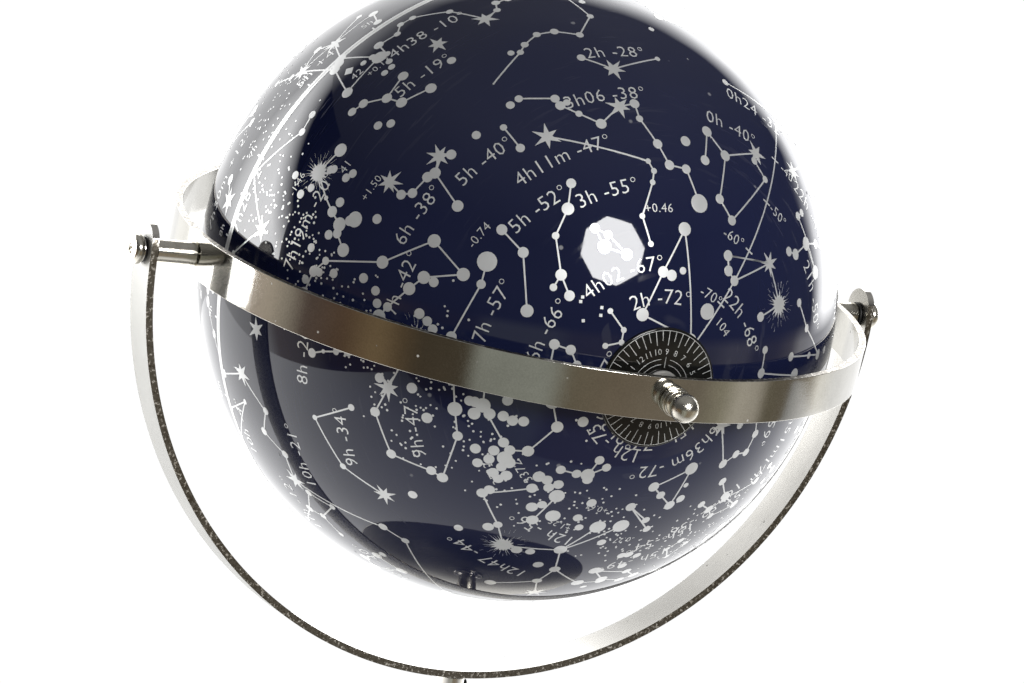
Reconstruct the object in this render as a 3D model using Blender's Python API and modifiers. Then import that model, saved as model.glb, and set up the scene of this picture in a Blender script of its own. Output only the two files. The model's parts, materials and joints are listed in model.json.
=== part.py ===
"""Desk-top star globe: a two-shell ball on polar pins in a full steel ring,
which tilts between the arms of a half-round yoke on a weighted stand.

Units are metres, +Z is up, and the origin is the middle of the stand's underside.
The ring's pivots lie along X, and the south pole of the ball faces -Y at rest.
"""
import math

import bmesh
import bpy

# --- Driving dimensions ---------------------------------------------------
BALL_RADIUS = 0.100
SHELL_WALL = 0.0018
RING_GAP = 0.0079          # ball to the inside of the ring
STRIP_THICKNESS = 0.0021   # ring and yoke are bent from the same flat strip
STRIP_WIDTH = 0.0132
PIVOT_GAP = 0.0146         # outside of the ring to the inside of the yoke
YOKE_LUG = 0.0086          # how far the yoke's ends stand above the pivots
RING_TILT = math.radians(6.0)   # rest angle of the ring about the pivots

BASE_RADIUS = 0.075
BASE_EDGE = 0.0060         # height of the base cover's upright rim
BASE_RISE = 0.0065         # how much the cover domes up to its middle
COVER_WALL = 0.0012
RIM_ROUND = 0.0018
PAD_THICKNESS = 0.0015
PAD_INSET = 0.0030         # pad edge to the cover's outer edge
POST_RADIUS = 0.0044
POST_LENGTH = 0.048        # from the base cover to the yoke
POST_FOOT_RADIUS = 0.0085
POST_FOOT_HEIGHT = 0.0030
POST_STUD_RADIUS = 0.0030

DIAL_RADIUS = 0.0186
DIAL_THICKNESS = 0.0006
BUSH_NECK_RADIUS = 0.0034
BUSH_FLANGE_RADIUS = 0.0061
BUSH_FLANGE_THICKNESS = 0.0010
BUSH_DEPTH = 0.0060        # how far the bush reaches inside the shell
RETAINER_RADIUS = 0.0080
RETAINER_THICKNESS = 0.0015
PIN_RADIUS = 0.0018
FINIAL_BALL_RADIUS = 0.00435
FINIAL_COLLAR_RADIUS = 0.0045
FINIAL_NECK_RADIUS = 0.0030
FINIAL_BALL_HEIGHT = 0.0073    # outside of the ring to the middle of the ball end
NUT_THICKNESS = 0.0026
NUT_RADIUS = 0.0040        # across the corners of the hexagon

SCREW_RADIUS = 0.0020
HEAD_RADIUS = 0.0046
HEAD_HEIGHT = 0.0030
RECESS_ARM = 0.0026        # half length of the cross recess
RECESS_WIDTH = 0.0010
RECESS_DEPTH = 0.0016
WASHER_RADIUS = 0.0040
WASHER_THICKNESS = 0.0008
SPACER_RADIUS = 0.0037
YOKE_SCREW_HEAD_RADIUS = 0.0042
YOKE_SCREW_LENGTH = 0.0110
GRUB_RADIUS = 0.0014
GRUB_DROP = 0.0030         # grub screw's middle below the post's top
GRUB_PROUD = 0.0010
STUD_NUT_RADIUS = 0.0062
STUD_NUT_THICKNESS = 0.0036
STUD_WASHER_RADIUS = 0.0075
STUD_WASHER_THICKNESS = 0.0012
BAND_WALL = 0.0014
BAND_HALF_HEIGHT = 0.0070

GAP = 0.0003               # touching faces are kept this far apart

# --- Sizes that follow from them ------------------------------------------
RING_INNER = BALL_RADIUS + RING_GAP
RING_OUTER = RING_INNER + STRIP_THICKNESS
YOKE_INNER = RING_OUTER + PIVOT_GAP
YOKE_OUTER = YOKE_INNER + STRIP_THICKNESS
COVER_BOTTOM = PAD_THICKNESS + GAP
COVER_TOP = COVER_BOTTOM + BASE_EDGE + BASE_RISE
POST_FOOT_BOTTOM = COVER_TOP + GAP
POST_TOP = COVER_TOP + POST_LENGTH
CENTRE_HEIGHT = POST_TOP + GAP + YOKE_OUTER
DIAL_INNER = BALL_RADIUS + GAP
DIAL_OUTER = DIAL_INNER + DIAL_THICKNESS
BUSH_FLANGE_BOTTOM = DIAL_OUTER + GAP
BUSH_FLANGE_TOP = BUSH_FLANGE_BOTTOM + BUSH_FLANGE_THICKNESS
SHELL_INSIDE = BALL_RADIUS - SHELL_WALL
BAND_SEAT = math.sqrt(SHELL_INSIDE ** 2 - (BAND_HALF_HEIGHT + GAP) ** 2)
BUSH_BOTTOM = SHELL_INSIDE - BUSH_DEPTH

STRIP_STEPS = 72           # facets around each kind of round piece
SHELL_STEPS = 36
BASE_STEPS = 40
DIAL_STEPS = 30
TURNED_STEPS = 18
HOLE_STEPS = 16
NUT_SIDES = 6


def reset_scene():
    for scene_object in list(bpy.data.objects):
        bpy.data.objects.remove(scene_object, do_unlink=True)


def new_collection(name):
    collection = bpy.data.collections.new(name)
    bpy.context.scene.collection.children.link(collection)
    return collection


def make_material(name, colour, roughness, metallic):
    material = bpy.data.materials.new(name)
    material.use_nodes = True
    shader = material.node_tree.nodes["Principled BSDF"]
    shader.inputs["Base Color"].default_value = (*colour, 1.0)
    shader.inputs["Roughness"].default_value = roughness
    shader.inputs["Metallic"].default_value = metallic
    return material


def make_frame(name, location=(0, 0, 0), rotation=(0, 0, 0), parent=None):
    """An empty that marks an axis; pieces on that axis are its children."""
    frame = bpy.data.objects.new(name, None)
    parts.objects.link(frame)
    frame.location = location
    frame.rotation_euler = rotation
    frame.parent = parent
    return frame


def add_object(name, mesh, material, parent, collection=None):
    scene_object = bpy.data.objects.new(name, mesh)
    (collection or parts).objects.link(scene_object)
    scene_object.parent = parent
    if material:
        mesh.materials.append(material)
    return scene_object


def shade(mesh, angle=35):
    mesh.shade_smooth()
    mesh.set_sharp_from_angle(angle=math.radians(angle))


# --- Turned pieces ----------------------------------------------------------

def arc(radius, first, last, count, centre=(0.0, 0.0)):
    """Points on a circle in the profile's plane; angles in degrees from the outward radius."""
    points = []
    for index in range(count + 1):
        angle = math.radians(first + (last - first) * index / count)
        points.append((centre[0] + radius * math.cos(angle), centre[1] + radius * math.sin(angle)))
    return points


def turned_mesh(name, outline):
    """A profile of (radius, height) points that runs down the outer side and back up the inner."""
    mesh = bpy.data.meshes.new(name)
    profile = bmesh.new()
    verts = [profile.verts.new((radius, 0, height)) for radius, height in outline]
    for start, end in zip(verts, verts[1:]):
        profile.edges.new((start, end))
    on_axis = outline[0][0] == 0 and outline[-1][0] == 0
    if not on_axis:
        profile.edges.new((verts[-1], verts[0]))
    profile.to_mesh(mesh)
    profile.free()
    return mesh


def add_screw(scene_object, steps):
    screw = scene_object.modifiers.new("turn", "SCREW")
    screw.axis = "Z"
    screw.steps = steps
    screw.render_steps = steps
    screw.use_merge_vertices = True
    screw.merge_threshold = 0.00001
    screw.use_smooth_shade = steps > NUT_SIDES


def turned(name, outline, material, parent, steps=TURNED_STEPS, collection=None):
    piece = add_object(name, turned_mesh(name, outline), material, parent, collection)
    add_screw(piece, steps)
    return piece


def tube_outline(outer, inner, bottom, top):
    return [(outer, top), (outer, bottom), (inner, bottom), (inner, top)]


def rod_outline(radius, bottom, top):
    return [(0, top), (radius, top), (radius, bottom), (0, bottom)]


# --- Cuts -------------------------------------------------------------------

def cut(piece, cutter):
    boolean = piece.modifiers.new("cut", "BOOLEAN")
    boolean.operation = "DIFFERENCE"
    boolean.solver = "EXACT"
    boolean.object = cutter
    cutter.hide_render = True
    cutter.display_type = "WIRE"


def cut_hole(piece, frame, radius, bottom, top):
    """A round hole along the frame's Z axis."""
    hole = turned(piece.name + "_hole", rod_outline(radius, bottom, top), None, frame, HOLE_STEPS, cutters)
    cut(piece, hole)


def cut_cross(piece, frame, top):
    """A cross recess sunk into a screw head whose highest point is at top."""
    for index in range(2):
        mesh = bpy.data.meshes.new(piece.name + "_slot")
        box = bmesh.new()
        bmesh.ops.create_cube(box, size=1.0)
        lengths = (2 * RECESS_ARM, RECESS_WIDTH) if index == 0 else (RECESS_WIDTH, 2 * RECESS_ARM)
        bmesh.ops.scale(box, vec=(lengths[0], lengths[1], 2 * RECESS_DEPTH), verts=box.verts)
        bmesh.ops.translate(box, vec=(0, 0, top), verts=box.verts)
        box.to_mesh(mesh)
        box.free()
        cut(piece, add_object(mesh.name, mesh, None, frame, cutters))


def hex_nut(name, hole, bottom, top, radius, material, frame):
    nut = turned(name, rod_outline(radius, bottom, top), material, frame, NUT_SIDES)
    cut_hole(nut, frame, hole, bottom - GAP, top + GAP)


# --- Stand ------------------------------------------------------------------

def dome_points(radius, height, rise, count):
    """The cover's shallow dome, from its middle out to radius, on one circle."""
    sphere = (radius * radius + rise * rise) / (2 * rise)
    points = []
    for index in range(count + 1):
        across = radius * index / count
        points.append((across, height + math.sqrt(sphere * sphere - across * across) - (sphere - rise)))
    return points


def cover_outside(offset):
    """The cover's outer skin moved in by offset, from the stud hole out and down the rim."""
    edge = COVER_BOTTOM + BASE_EDGE - offset
    rim = max(RIM_ROUND - offset, RIM_ROUND / 4)
    dome = dome_points(BASE_RADIUS - RIM_ROUND, edge, BASE_RISE, 4)[1:]
    corner = arc(rim, 90, 0, 3, (BASE_RADIUS - offset - rim, edge - rim))
    hole = [(POST_STUD_RADIUS + GAP, edge + BASE_RISE)]
    return hole + dome + corner[1:]


def build_base():
    outer = cover_outside(0)
    inner = cover_outside(COVER_WALL)
    outline = outer + [(outer[-1][0], COVER_BOTTOM), (inner[-1][0], COVER_BOTTOM)] + inner[::-1]
    turned("base_cover", outline, steel_brushed, None, BASE_STEPS)

    weight = cover_outside(COVER_WALL + GAP)
    pocket = STUD_WASHER_RADIUS + 3 * GAP
    pocket_top = PAD_THICKNESS + GAP + STUD_NUT_THICKNESS + STUD_WASHER_THICKNESS + 3 * GAP
    outline = weight + [(weight[-1][0], COVER_BOTTOM), (pocket, COVER_BOTTOM),
                        (pocket, pocket_top), (POST_STUD_RADIUS + GAP, pocket_top)]
    turned("base_weight", outline, iron, None, BASE_STEPS)

    turned("base_pad", tube_outline(BASE_RADIUS - PAD_INSET, pocket, 0, PAD_THICKNESS), felt, None, BASE_STEPS)

    washer_top = pocket_top - GAP
    washer_bottom = washer_top - STUD_WASHER_THICKNESS
    hole = POST_STUD_RADIUS + GAP
    turned("post_washer", tube_outline(STUD_WASHER_RADIUS, hole, washer_bottom, washer_top), zinc, None)
    nut_top = washer_bottom - GAP
    nut_bottom = nut_top - STUD_NUT_THICKNESS
    hex_nut("post_nut", hole, nut_bottom, nut_top, STUD_NUT_RADIUS, zinc, None)
    return nut_bottom


def build_post(stud_bottom):
    bore_bottom = POST_TOP - YOKE_SCREW_LENGTH - 4 * GAP
    foot_top = POST_FOOT_BOTTOM + POST_FOOT_HEIGHT
    round_edge = 0.0006
    outline = [
        (SCREW_RADIUS + GAP, POST_TOP), (POST_RADIUS - round_edge, POST_TOP),
        (POST_RADIUS, POST_TOP - round_edge), (POST_RADIUS, foot_top + 3 * round_edge),
        (POST_RADIUS + round_edge, foot_top + round_edge), (POST_RADIUS + 3 * round_edge, foot_top),
        (POST_FOOT_RADIUS - round_edge, foot_top), (POST_FOOT_RADIUS, foot_top - round_edge),
        (POST_FOOT_RADIUS, POST_FOOT_BOTTOM), (POST_STUD_RADIUS, POST_FOOT_BOTTOM),
        (POST_STUD_RADIUS, stud_bottom), (0, stud_bottom),
    ]
    bore = [(0, bore_bottom), (SCREW_RADIUS + GAP, bore_bottom)]
    piece = turned("post", bore + outline, polished, None)

    side = make_frame("grub_axis", (0, 0, POST_TOP - GRUB_DROP), (0, math.radians(90), 0))
    cut_hole(piece, side, GRUB_RADIUS + GAP, 0, POST_RADIUS + 4 * GAP)
    tip = SCREW_RADIUS + 2 * GAP
    end = POST_RADIUS + GRUB_PROUD
    slot_depth = GRUB_PROUD * 0.8
    grub = turned("post_grub_screw", rod_outline(GRUB_RADIUS, tip, end), black_steel, side, HOLE_STEPS)
    slot = bpy.data.meshes.new("grub_slot")
    box = bmesh.new()
    bmesh.ops.create_cube(box, size=1.0)
    bmesh.ops.scale(box, vec=(4 * GRUB_RADIUS, RECESS_WIDTH / 2, 2 * slot_depth), verts=box.verts)
    bmesh.ops.translate(box, vec=(0, 0, end), verts=box.verts)
    box.to_mesh(slot)
    box.free()
    cut(grub, add_object("grub_slot", slot, None, side, cutters))


def build_yoke():
    """Flat strip bent to a half circle, with straight lugs whose ends are round."""
    band = bmesh.new()
    half = STRIP_WIDTH / 2
    section = [band.verts.new((radius, side * half, 0))
               for radius, side in ((YOKE_INNER, -1), (YOKE_OUTER, -1), (YOKE_OUTER, 1), (YOKE_INNER, 1))]
    start = band.faces.new(section)
    turn = bmesh.ops.spin(band, geom=[start], cent=(0, 0, 0), axis=(0, 1, 0),
                          angle=math.pi, steps=STRIP_STEPS // 2, use_merge=False)
    ends = [start, [item for item in turn["geom_last"] if isinstance(item, bmesh.types.BMFace)][0]]
    corners = []
    for end in ends:
        lug = bmesh.ops.extrude_face_region(band, geom=[end])
        verts = [item for item in lug["geom"] if isinstance(item, bmesh.types.BMVert)]
        bmesh.ops.translate(band, vec=(0, 0, YOKE_LUG), verts=verts)
        bmesh.ops.delete(band, geom=[end], context="FACES_ONLY")
        tops = [item for item in lug["geom"] if isinstance(item, bmesh.types.BMEdge)]
        corners += [edge for edge in tops
                    if abs(edge.verts[0].co.y - edge.verts[1].co.y) < GAP / 10]
    bmesh.ops.bevel(band, geom=corners, offset=half - GAP / 3, segments=8, profile=0.5,
                    affect="EDGES", clamp_overlap=False, material=-1)
    bmesh.ops.recalc_face_normals(band, faces=band.faces)
    mesh = bpy.data.meshes.new("yoke")
    band.to_mesh(mesh)
    band.free()
    shade(mesh)
    yoke = add_object("yoke", mesh, steel_strip, centre_frame)

    for side in pivot_frames.values():
        cut_hole(yoke, side, SCREW_RADIUS + GAP, YOKE_INNER - 4 * GAP, YOKE_OUTER + 4 * GAP)
    head_top = -YOKE_INNER - GAP / 2
    head_bottom = -YOKE_OUTER + GAP
    shank_bottom = head_bottom - YOKE_SCREW_LENGTH + STRIP_THICKNESS
    reach = 4 * GAP
    slope = (YOKE_SCREW_HEAD_RADIUS - SCREW_RADIUS) / (head_top - head_bottom)
    countersink = [
        (0, head_top + reach), (YOKE_SCREW_HEAD_RADIUS + GAP + reach * slope, head_top + reach),
        (SCREW_RADIUS + GAP, head_bottom), (SCREW_RADIUS + GAP, head_bottom - reach), (0, head_bottom - reach),
    ]
    cut(yoke, turned("yoke_countersink", countersink, None, centre_frame, HOLE_STEPS, cutters))
    screw = turned("yoke_screw", [
        (0, head_top), (YOKE_SCREW_HEAD_RADIUS, head_top), (SCREW_RADIUS, head_bottom),
        (SCREW_RADIUS, shank_bottom), (0, shank_bottom),
    ], polished, centre_frame)
    cut_cross(screw, centre_frame, head_top)


# --- Ring and pivots --------------------------------------------------------

def build_pivots():
    """Everything on the X axis: screw, washers, spacer tube and nut at each end."""
    hole = SCREW_RADIUS + GAP
    for side, frame in pivot_frames.items():
        tilting = tilting_pivot_frames[side]
        outer_washer = YOKE_OUTER + GAP
        turned("pivot_washer_" + side,
               tube_outline(WASHER_RADIUS, hole, outer_washer, outer_washer + WASHER_THICKNESS), nylon, frame)
        inner_washer = YOKE_INNER - GAP
        turned("pivot_friction_washer_" + side,
               tube_outline(WASHER_RADIUS, hole, inner_washer - WASHER_THICKNESS, inner_washer), nylon, frame)
        turned("pivot_spacer_" + side,
               tube_outline(SPACER_RADIUS, hole, RING_OUTER + GAP, inner_washer - WASHER_THICKNESS - GAP),
               polished, tilting)
        nut_top = RING_INNER - GAP
        hex_nut("pivot_nut_" + side, hole, nut_top - NUT_THICKNESS, nut_top, NUT_RADIUS, polished, tilting)
        seat = outer_washer + WASHER_THICKNESS + GAP
        shank_end = nut_top - NUT_THICKNESS
        crown = dome_points(HEAD_RADIUS * 0.86, seat + HEAD_HEIGHT * 0.62, HEAD_HEIGHT * 0.38, 4)
        head = crown + [(HEAD_RADIUS * 0.97, seat + HEAD_HEIGHT * 0.45),
                        (HEAD_RADIUS, seat + HEAD_HEIGHT * 0.25), (HEAD_RADIUS, seat)]
        screw = turned("pivot_screw_" + side,
                       head + [(SCREW_RADIUS, seat), (SCREW_RADIUS, shank_end), (0, shank_end)],
                       polished, tilting)
        cut_cross(screw, tilting, seat + HEAD_HEIGHT)


def build_ring():
    half = STRIP_WIDTH / 2
    ring = turned("meridian_ring", tube_outline(RING_OUTER, RING_INNER, -half, half),
                  steel_strip, ring_frame, STRIP_STEPS)
    for frame in tilting_pivot_frames.values():
        cut_hole(ring, frame, SCREW_RADIUS + GAP, RING_INNER - 4 * GAP, RING_OUTER + 4 * GAP)
    for frame in pole_frames.values():
        cut_hole(ring, frame, PIN_RADIUS + GAP, RING_INNER - 4 * GAP, RING_OUTER + 4 * GAP)


def build_finial(pole, frame):
    """Turned polar pin: two collars and a ball end outside the ring, a plain pin inside it."""
    seat = RING_OUTER + GAP
    middle = RING_OUTER + FINIAL_BALL_HEIGHT
    tip = BUSH_BOTTOM - 2 * GAP
    neck_angle = -math.degrees(math.acos(FINIAL_NECK_RADIUS / FINIAL_BALL_RADIUS))
    ball_end = arc(FINIAL_BALL_RADIUS, 90, neck_angle, 8, (0, middle))
    ball_end[0] = (0, middle + FINIAL_BALL_RADIUS)
    collar_top = middle - FINIAL_BALL_RADIUS * 0.80
    groove = FINIAL_COLLAR_RADIUS * 0.87
    edge = FINIAL_COLLAR_RADIUS * 0.06
    outline = ball_end + [
        (FINIAL_NECK_RADIUS, collar_top), (groove, collar_top),
        (FINIAL_COLLAR_RADIUS * 0.94, collar_top - 2 * edge), (FINIAL_COLLAR_RADIUS * 0.94, collar_top - 3 * edge),
        (groove, collar_top - 4 * edge), (FINIAL_COLLAR_RADIUS, collar_top - 5 * edge),
        (FINIAL_COLLAR_RADIUS, seat + edge), (FINIAL_COLLAR_RADIUS - edge, seat),
        (PIN_RADIUS, seat), (PIN_RADIUS, tip), (0, tip),
    ]
    turned("finial_" + pole, outline, polished, frame)
    nut_top = RING_INNER - GAP
    hex_nut("finial_nut_" + pole, PIN_RADIUS + GAP, nut_top - NUT_THICKNESS, nut_top,
            NUT_RADIUS, polished, frame)


# --- Ball -------------------------------------------------------------------

def cap_angle(radius, sphere):
    return math.degrees(math.acos(radius / sphere))


def height_on(sphere, radius):
    return math.sqrt(sphere * sphere - radius * radius)


def build_pole(pole, frame):
    """Shell, bush, its retainer and the hour dial, about one pole's axis."""
    hole = BUSH_NECK_RADIUS + GAP
    outer = arc(BALL_RADIUS, cap_angle(hole, BALL_RADIUS), 0, 9)
    outer[-1] = (BALL_RADIUS, GAP / 2)
    seat_height = BAND_HALF_HEIGHT + GAP
    boss_height = height_on(SHELL_INSIDE, RETAINER_RADIUS + 4 * GAP)
    inner = arc(SHELL_INSIDE, math.degrees(math.asin(seat_height / SHELL_INSIDE)),
                cap_angle(RETAINER_RADIUS + 4 * GAP, SHELL_INSIDE), 5)
    outline = outer + [(BAND_SEAT, GAP / 2)] + inner + [(hole, boss_height)]
    turned("hemisphere_" + pole, outline, navy, frame, SHELL_STEPS)

    rim = cap_angle(DIAL_RADIUS, DIAL_OUTER)
    dial = arc(DIAL_OUTER, cap_angle(hole, DIAL_OUTER), rim, 3)
    dial += arc(DIAL_INNER, rim, cap_angle(hole, DIAL_INNER), 3)
    turned("hour_dial_" + pole, dial, black_print, frame, DIAL_STEPS)

    bore = PIN_RADIUS + GAP
    turned("pole_bush_" + pole, [
        (bore, BUSH_FLANGE_TOP), (BUSH_FLANGE_RADIUS, BUSH_FLANGE_TOP),
        (BUSH_FLANGE_RADIUS, BUSH_FLANGE_BOTTOM), (BUSH_NECK_RADIUS, BUSH_FLANGE_BOTTOM),
        (BUSH_NECK_RADIUS, BUSH_BOTTOM), (bore, BUSH_BOTTOM),
    ], zinc, frame)

    retainer_top = boss_height - GAP
    turned("bush_retainer_" + pole,
           tube_outline(RETAINER_RADIUS, hole, retainer_top - RETAINER_THICKNESS, retainer_top), zinc, frame)


def build_band():
    """Joining band inside the equator, a snug fit in both shells."""
    outer = BAND_SEAT - GAP
    turned("equator_band", tube_outline(outer, outer - BAND_WALL, -BAND_HALF_HEIGHT, BAND_HALF_HEIGHT),
           band_plastic, pole_frames["north"], SHELL_STEPS)


reset_scene()
parts = new_collection("desktop_globe")
cutters = new_collection("cutters")

steel_brushed = make_material("brushed_steel", (0.62, 0.60, 0.56), 0.32, 1.0)
steel_strip = make_material("strip_steel", (0.66, 0.64, 0.59), 0.24, 1.0)
polished = make_material("polished_steel", (0.74, 0.72, 0.68), 0.10, 1.0)
zinc = make_material("plain_steel", (0.55, 0.54, 0.53), 0.35, 1.0)
iron = make_material("cast_iron", (0.09, 0.09, 0.09), 0.70, 1.0)
black_steel = make_material("black_steel", (0.03, 0.03, 0.03), 0.45, 1.0)
navy = make_material("navy_gloss", (0.012, 0.018, 0.085), 0.12, 0.0)
black_print = make_material("black_gloss", (0.008, 0.008, 0.008), 0.12, 0.0)
band_plastic = make_material("white_plastic", (0.75, 0.75, 0.72), 0.45, 0.0)
nylon = make_material("black_nylon", (0.012, 0.012, 0.012), 0.50, 0.0)
felt = make_material("black_felt", (0.020, 0.020, 0.022), 0.95, 0.0)

quarter = math.radians(90)
centre_frame = make_frame("ball_centre", (0, 0, CENTRE_HEIGHT))
ring_frame = make_frame("ring_tilt_axis", (0, 0, 0), (RING_TILT, 0, 0), centre_frame)
pivot_turns = {"left": (0, -quarter, 0), "right": (0, quarter, 0)}
pivot_frames = {side: make_frame("pivot_" + side, (0, 0, 0), turn, centre_frame)
                for side, turn in pivot_turns.items()}
tilting_pivot_frames = {side: make_frame("ring_pivot_" + side, (0, 0, 0), turn, ring_frame)
                        for side, turn in pivot_turns.items()}
pole_frames = {"south": make_frame("south_axis", (0, 0, 0), (quarter, 0, 0), ring_frame),
               "north": make_frame("north_axis", (0, 0, 0), (-quarter, 0, 0), ring_frame)}

build_post(build_base())
build_yoke()
build_pivots()
build_ring()
for pole_name, pole_frame in pole_frames.items():
    build_finial(pole_name, pole_frame)
    build_pole(pole_name, pole_frame)
build_band()
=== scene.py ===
import json
import math
import random

import bmesh
import bpy
from mathutils import Matrix, Vector


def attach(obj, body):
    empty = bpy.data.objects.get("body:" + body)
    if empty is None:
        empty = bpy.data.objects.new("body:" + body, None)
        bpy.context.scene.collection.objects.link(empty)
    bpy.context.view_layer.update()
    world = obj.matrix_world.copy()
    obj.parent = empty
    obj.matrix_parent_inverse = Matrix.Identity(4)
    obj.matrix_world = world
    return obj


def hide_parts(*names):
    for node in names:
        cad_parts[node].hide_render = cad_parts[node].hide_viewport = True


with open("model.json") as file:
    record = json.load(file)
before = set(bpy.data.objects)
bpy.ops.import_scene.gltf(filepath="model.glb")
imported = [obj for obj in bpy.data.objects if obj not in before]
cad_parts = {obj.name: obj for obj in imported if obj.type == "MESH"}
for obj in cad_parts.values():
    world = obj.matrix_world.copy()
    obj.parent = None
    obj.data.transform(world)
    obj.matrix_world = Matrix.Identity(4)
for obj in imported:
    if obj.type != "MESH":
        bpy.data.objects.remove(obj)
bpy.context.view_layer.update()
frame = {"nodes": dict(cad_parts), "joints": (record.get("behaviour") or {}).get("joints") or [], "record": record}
print("frame loaded:", len(frame["nodes"]), "CAD nodes")

# places: every piece is made about its own Z axis and then put on one of these
joints = {joint["name"]: joint for joint in frame["joints"]}
ballCentre = Vector(joints["ring_tilt"]["pos_m"])
pivotAxis = Vector(joints["ring_tilt"]["axis"])
northAxis = Vector(joints["globe_spin"]["axis"]).normalized()
upAxis = Vector((0, 0, 1))


def axisPlace(direction, side, origin):
    # Z runs along direction, and X is as near to side as it can be
    direction = direction.normalized()
    side = (side - direction * side.dot(direction)).normalized()
    turn = Matrix((side, direction.cross(side), direction)).transposed()
    return Matrix.Translation(origin) @ turn.to_4x4()


poles = {"north": northAxis, "south": -northAxis}
sides = {"left": -pivotAxis, "right": pivotAxis}
uprightPlace = Matrix.Identity(4)
centrePlace = Matrix.Translation(ballCentre)
polePlace = {pole: axisPlace(poles[pole], pivotAxis, ballCentre) for pole in poles}
pivotPlace = {side: axisPlace(sides[side], upAxis, ballCentre) for side in sides}
tiltedPivotPlace = {side: axisPlace(sides[side], northAxis, ballCentre) for side in sides}
ringPlace = axisPlace(northAxis.cross(pivotAxis), -northAxis, ballCentre)
yokePlace = axisPlace(Vector((0, 1, 0)), -upAxis, ballCentre)


def extent(node, place):
    # a CAD node's lowest and highest corner, measured along the place's own axes
    inverse = place.inverted()
    points = [inverse @ v.co for v in frame["nodes"][node].data.vertices]
    low = Vector([min(p[i] for p in points) for i in range(3)])
    high = Vector([max(p[i] for p in points) for i in range(3)])
    return low, high


ballRadius = extent("hemisphere_south", polePlace["south"])[1].x
turnGap = extent("hemisphere_south", polePlace["south"])[0].z * 2


# small tools

def newObject(name, mesh):
    piece = bpy.data.objects.new(name, mesh)
    bpy.context.scene.collection.objects.link(piece)
    return piece


def meshOf(work, name):
    mesh = bpy.data.meshes.new(name)
    work.to_mesh(mesh)
    work.free()
    return mesh


def evaluated(piece):
    # the piece's mesh with its modifiers applied, as a new mesh
    bpy.context.view_layer.update()
    graph = bpy.context.evaluated_depsgraph_get()
    return bpy.data.meshes.new_from_object(piece.evaluated_get(graph))


def carve(work, cutter):
    # work minus cutter, both given as bmeshes
    body = newObject("carveBody", meshOf(work, "carveBody"))
    tool = newObject("carveTool", meshOf(cutter, "carveTool"))
    cut = body.modifiers.new("cut", "BOOLEAN")
    cut.operation = "DIFFERENCE"
    cut.solver = "EXACT"
    cut.object = tool
    result = bmesh.new()
    result.from_mesh(evaluated(body))
    bpy.data.objects.remove(body)
    bpy.data.objects.remove(tool)
    return result


def finishPiece(name, work, place, materials, body, slot=None, replaced=(), sharp=32, weighted=True):
    # puts a bmesh in its place as a finished piece that rides on a CAD body
    bmesh.ops.transform(work, matrix=place, verts=work.verts)
    mesh = meshOf(work, name)
    mesh.shade_smooth()
    mesh.set_sharp_from_angle(angle=math.radians(sharp))
    for material in materials:
        mesh.materials.append(material)
    piece = newObject(name, mesh)
    if weighted:
        normals = piece.modifiers.new("flat faces keep flat", "WEIGHTED_NORMAL")
        normals.keep_sharp = True
        normals.weight = 80
    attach(piece, body)
    if replaced:
        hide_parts(*replaced)
    return piece


def arc(radius, first, last, count, centre=(0.0, 0.0)):
    # points on a circle in a profile's plane, angles in degrees from the outward radius
    points = []
    for index in range(count + 1):
        angle = math.radians(first + (last - first) * index / count)
        points.append((centre[0] + radius * math.cos(angle), centre[1] + radius * math.sin(angle)))
    return points


tiny = 1e-7                 # two points nearer than this are one


def eased(outline, radius, count=4):
    # a closed profile with its corners rounded; points on the axis stay sharp
    rounded = []
    for index, point in enumerate(outline):
        here = Vector(point)
        before = Vector(outline[index - 1])
        after = Vector(outline[(index + 1) % len(outline)])
        back, ahead = before - here, after - here
        shortest = min(here.x, back.length, ahead.length)
        if shortest < tiny or back.angle(ahead) > math.radians(155):
            rounded.append(tuple(here))
            continue
        reach = min(radius, back.length * 0.45, ahead.length * 0.45)
        start, end = here + back.normalized() * reach, here + ahead.normalized() * reach
        for step in range(count + 1):
            t = step / count
            rounded.append(tuple(start * (1 - t) ** 2 + here * 2 * t * (1 - t) + end * t * t))
    return rounded


def lathe(outline, steps):
    # a profile of (radius, height) points turned about Z; a profile off the axis is closed first
    work = bmesh.new()
    verts = [work.verts.new((radius, 0, height)) for radius, height in outline]
    edges = [work.edges.new(pair) for pair in zip(verts, verts[1:])]
    if max(outline[0][0], outline[-1][0]) >= tiny:
        edges.append(work.edges.new((verts[-1], verts[0])))
    bmesh.ops.spin(work, geom=verts + edges, cent=(0, 0, 0), axis=(0, 0, 1),
                   angle=math.tau, steps=steps, use_merge=True)
    bmesh.ops.remove_doubles(work, verts=work.verts, dist=tiny)
    bmesh.ops.recalc_face_normals(work, faces=work.faces)
    return work


def tube(outer, inner, bottom, top, ease, steps, count=3):
    return lathe(eased([(outer, top), (outer, bottom), (inner, bottom), (inner, top)], ease, count), steps)


def rod(radius, bottom, top, steps):
    return lathe([(0, top), (radius, top), (radius, bottom), (0, bottom)], steps)


# finishes: shared effects as node groups

def setInputs(tree, node, inputs):
    # an output given for a socket is linked to it, and anything else becomes its value
    for socket, value in inputs.items():
        if isinstance(value, bpy.types.NodeSocket):
            tree.links.new(value, node.inputs[socket])
        else:
            node.inputs[socket].default_value = value


def addNode(tree, kind, inputs=None, **settings):
    # a new node's outputs
    node = tree.nodes.new("ShaderNode" + kind)
    for setting, value in settings.items():
        setattr(node, setting, value)
    setInputs(tree, node, inputs or {})
    return node.outputs


def rangeNode(tree, source, low, high, toLow=0.0, toHigh=1.0):
    return addNode(tree, "MapRange", {"Value": source, "From Min": low, "From Max": high,
                                      "To Min": toLow, "To Max": toHigh})["Result"]


def mathNode(tree, operation, first, second=0.0):
    return addNode(tree, "Math", {0: first, 1: second}, operation=operation)[0]


def vectorNode(tree, operation, *values):
    return addNode(tree, "VectorMath", dict(enumerate(values)), operation=operation)


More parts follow.
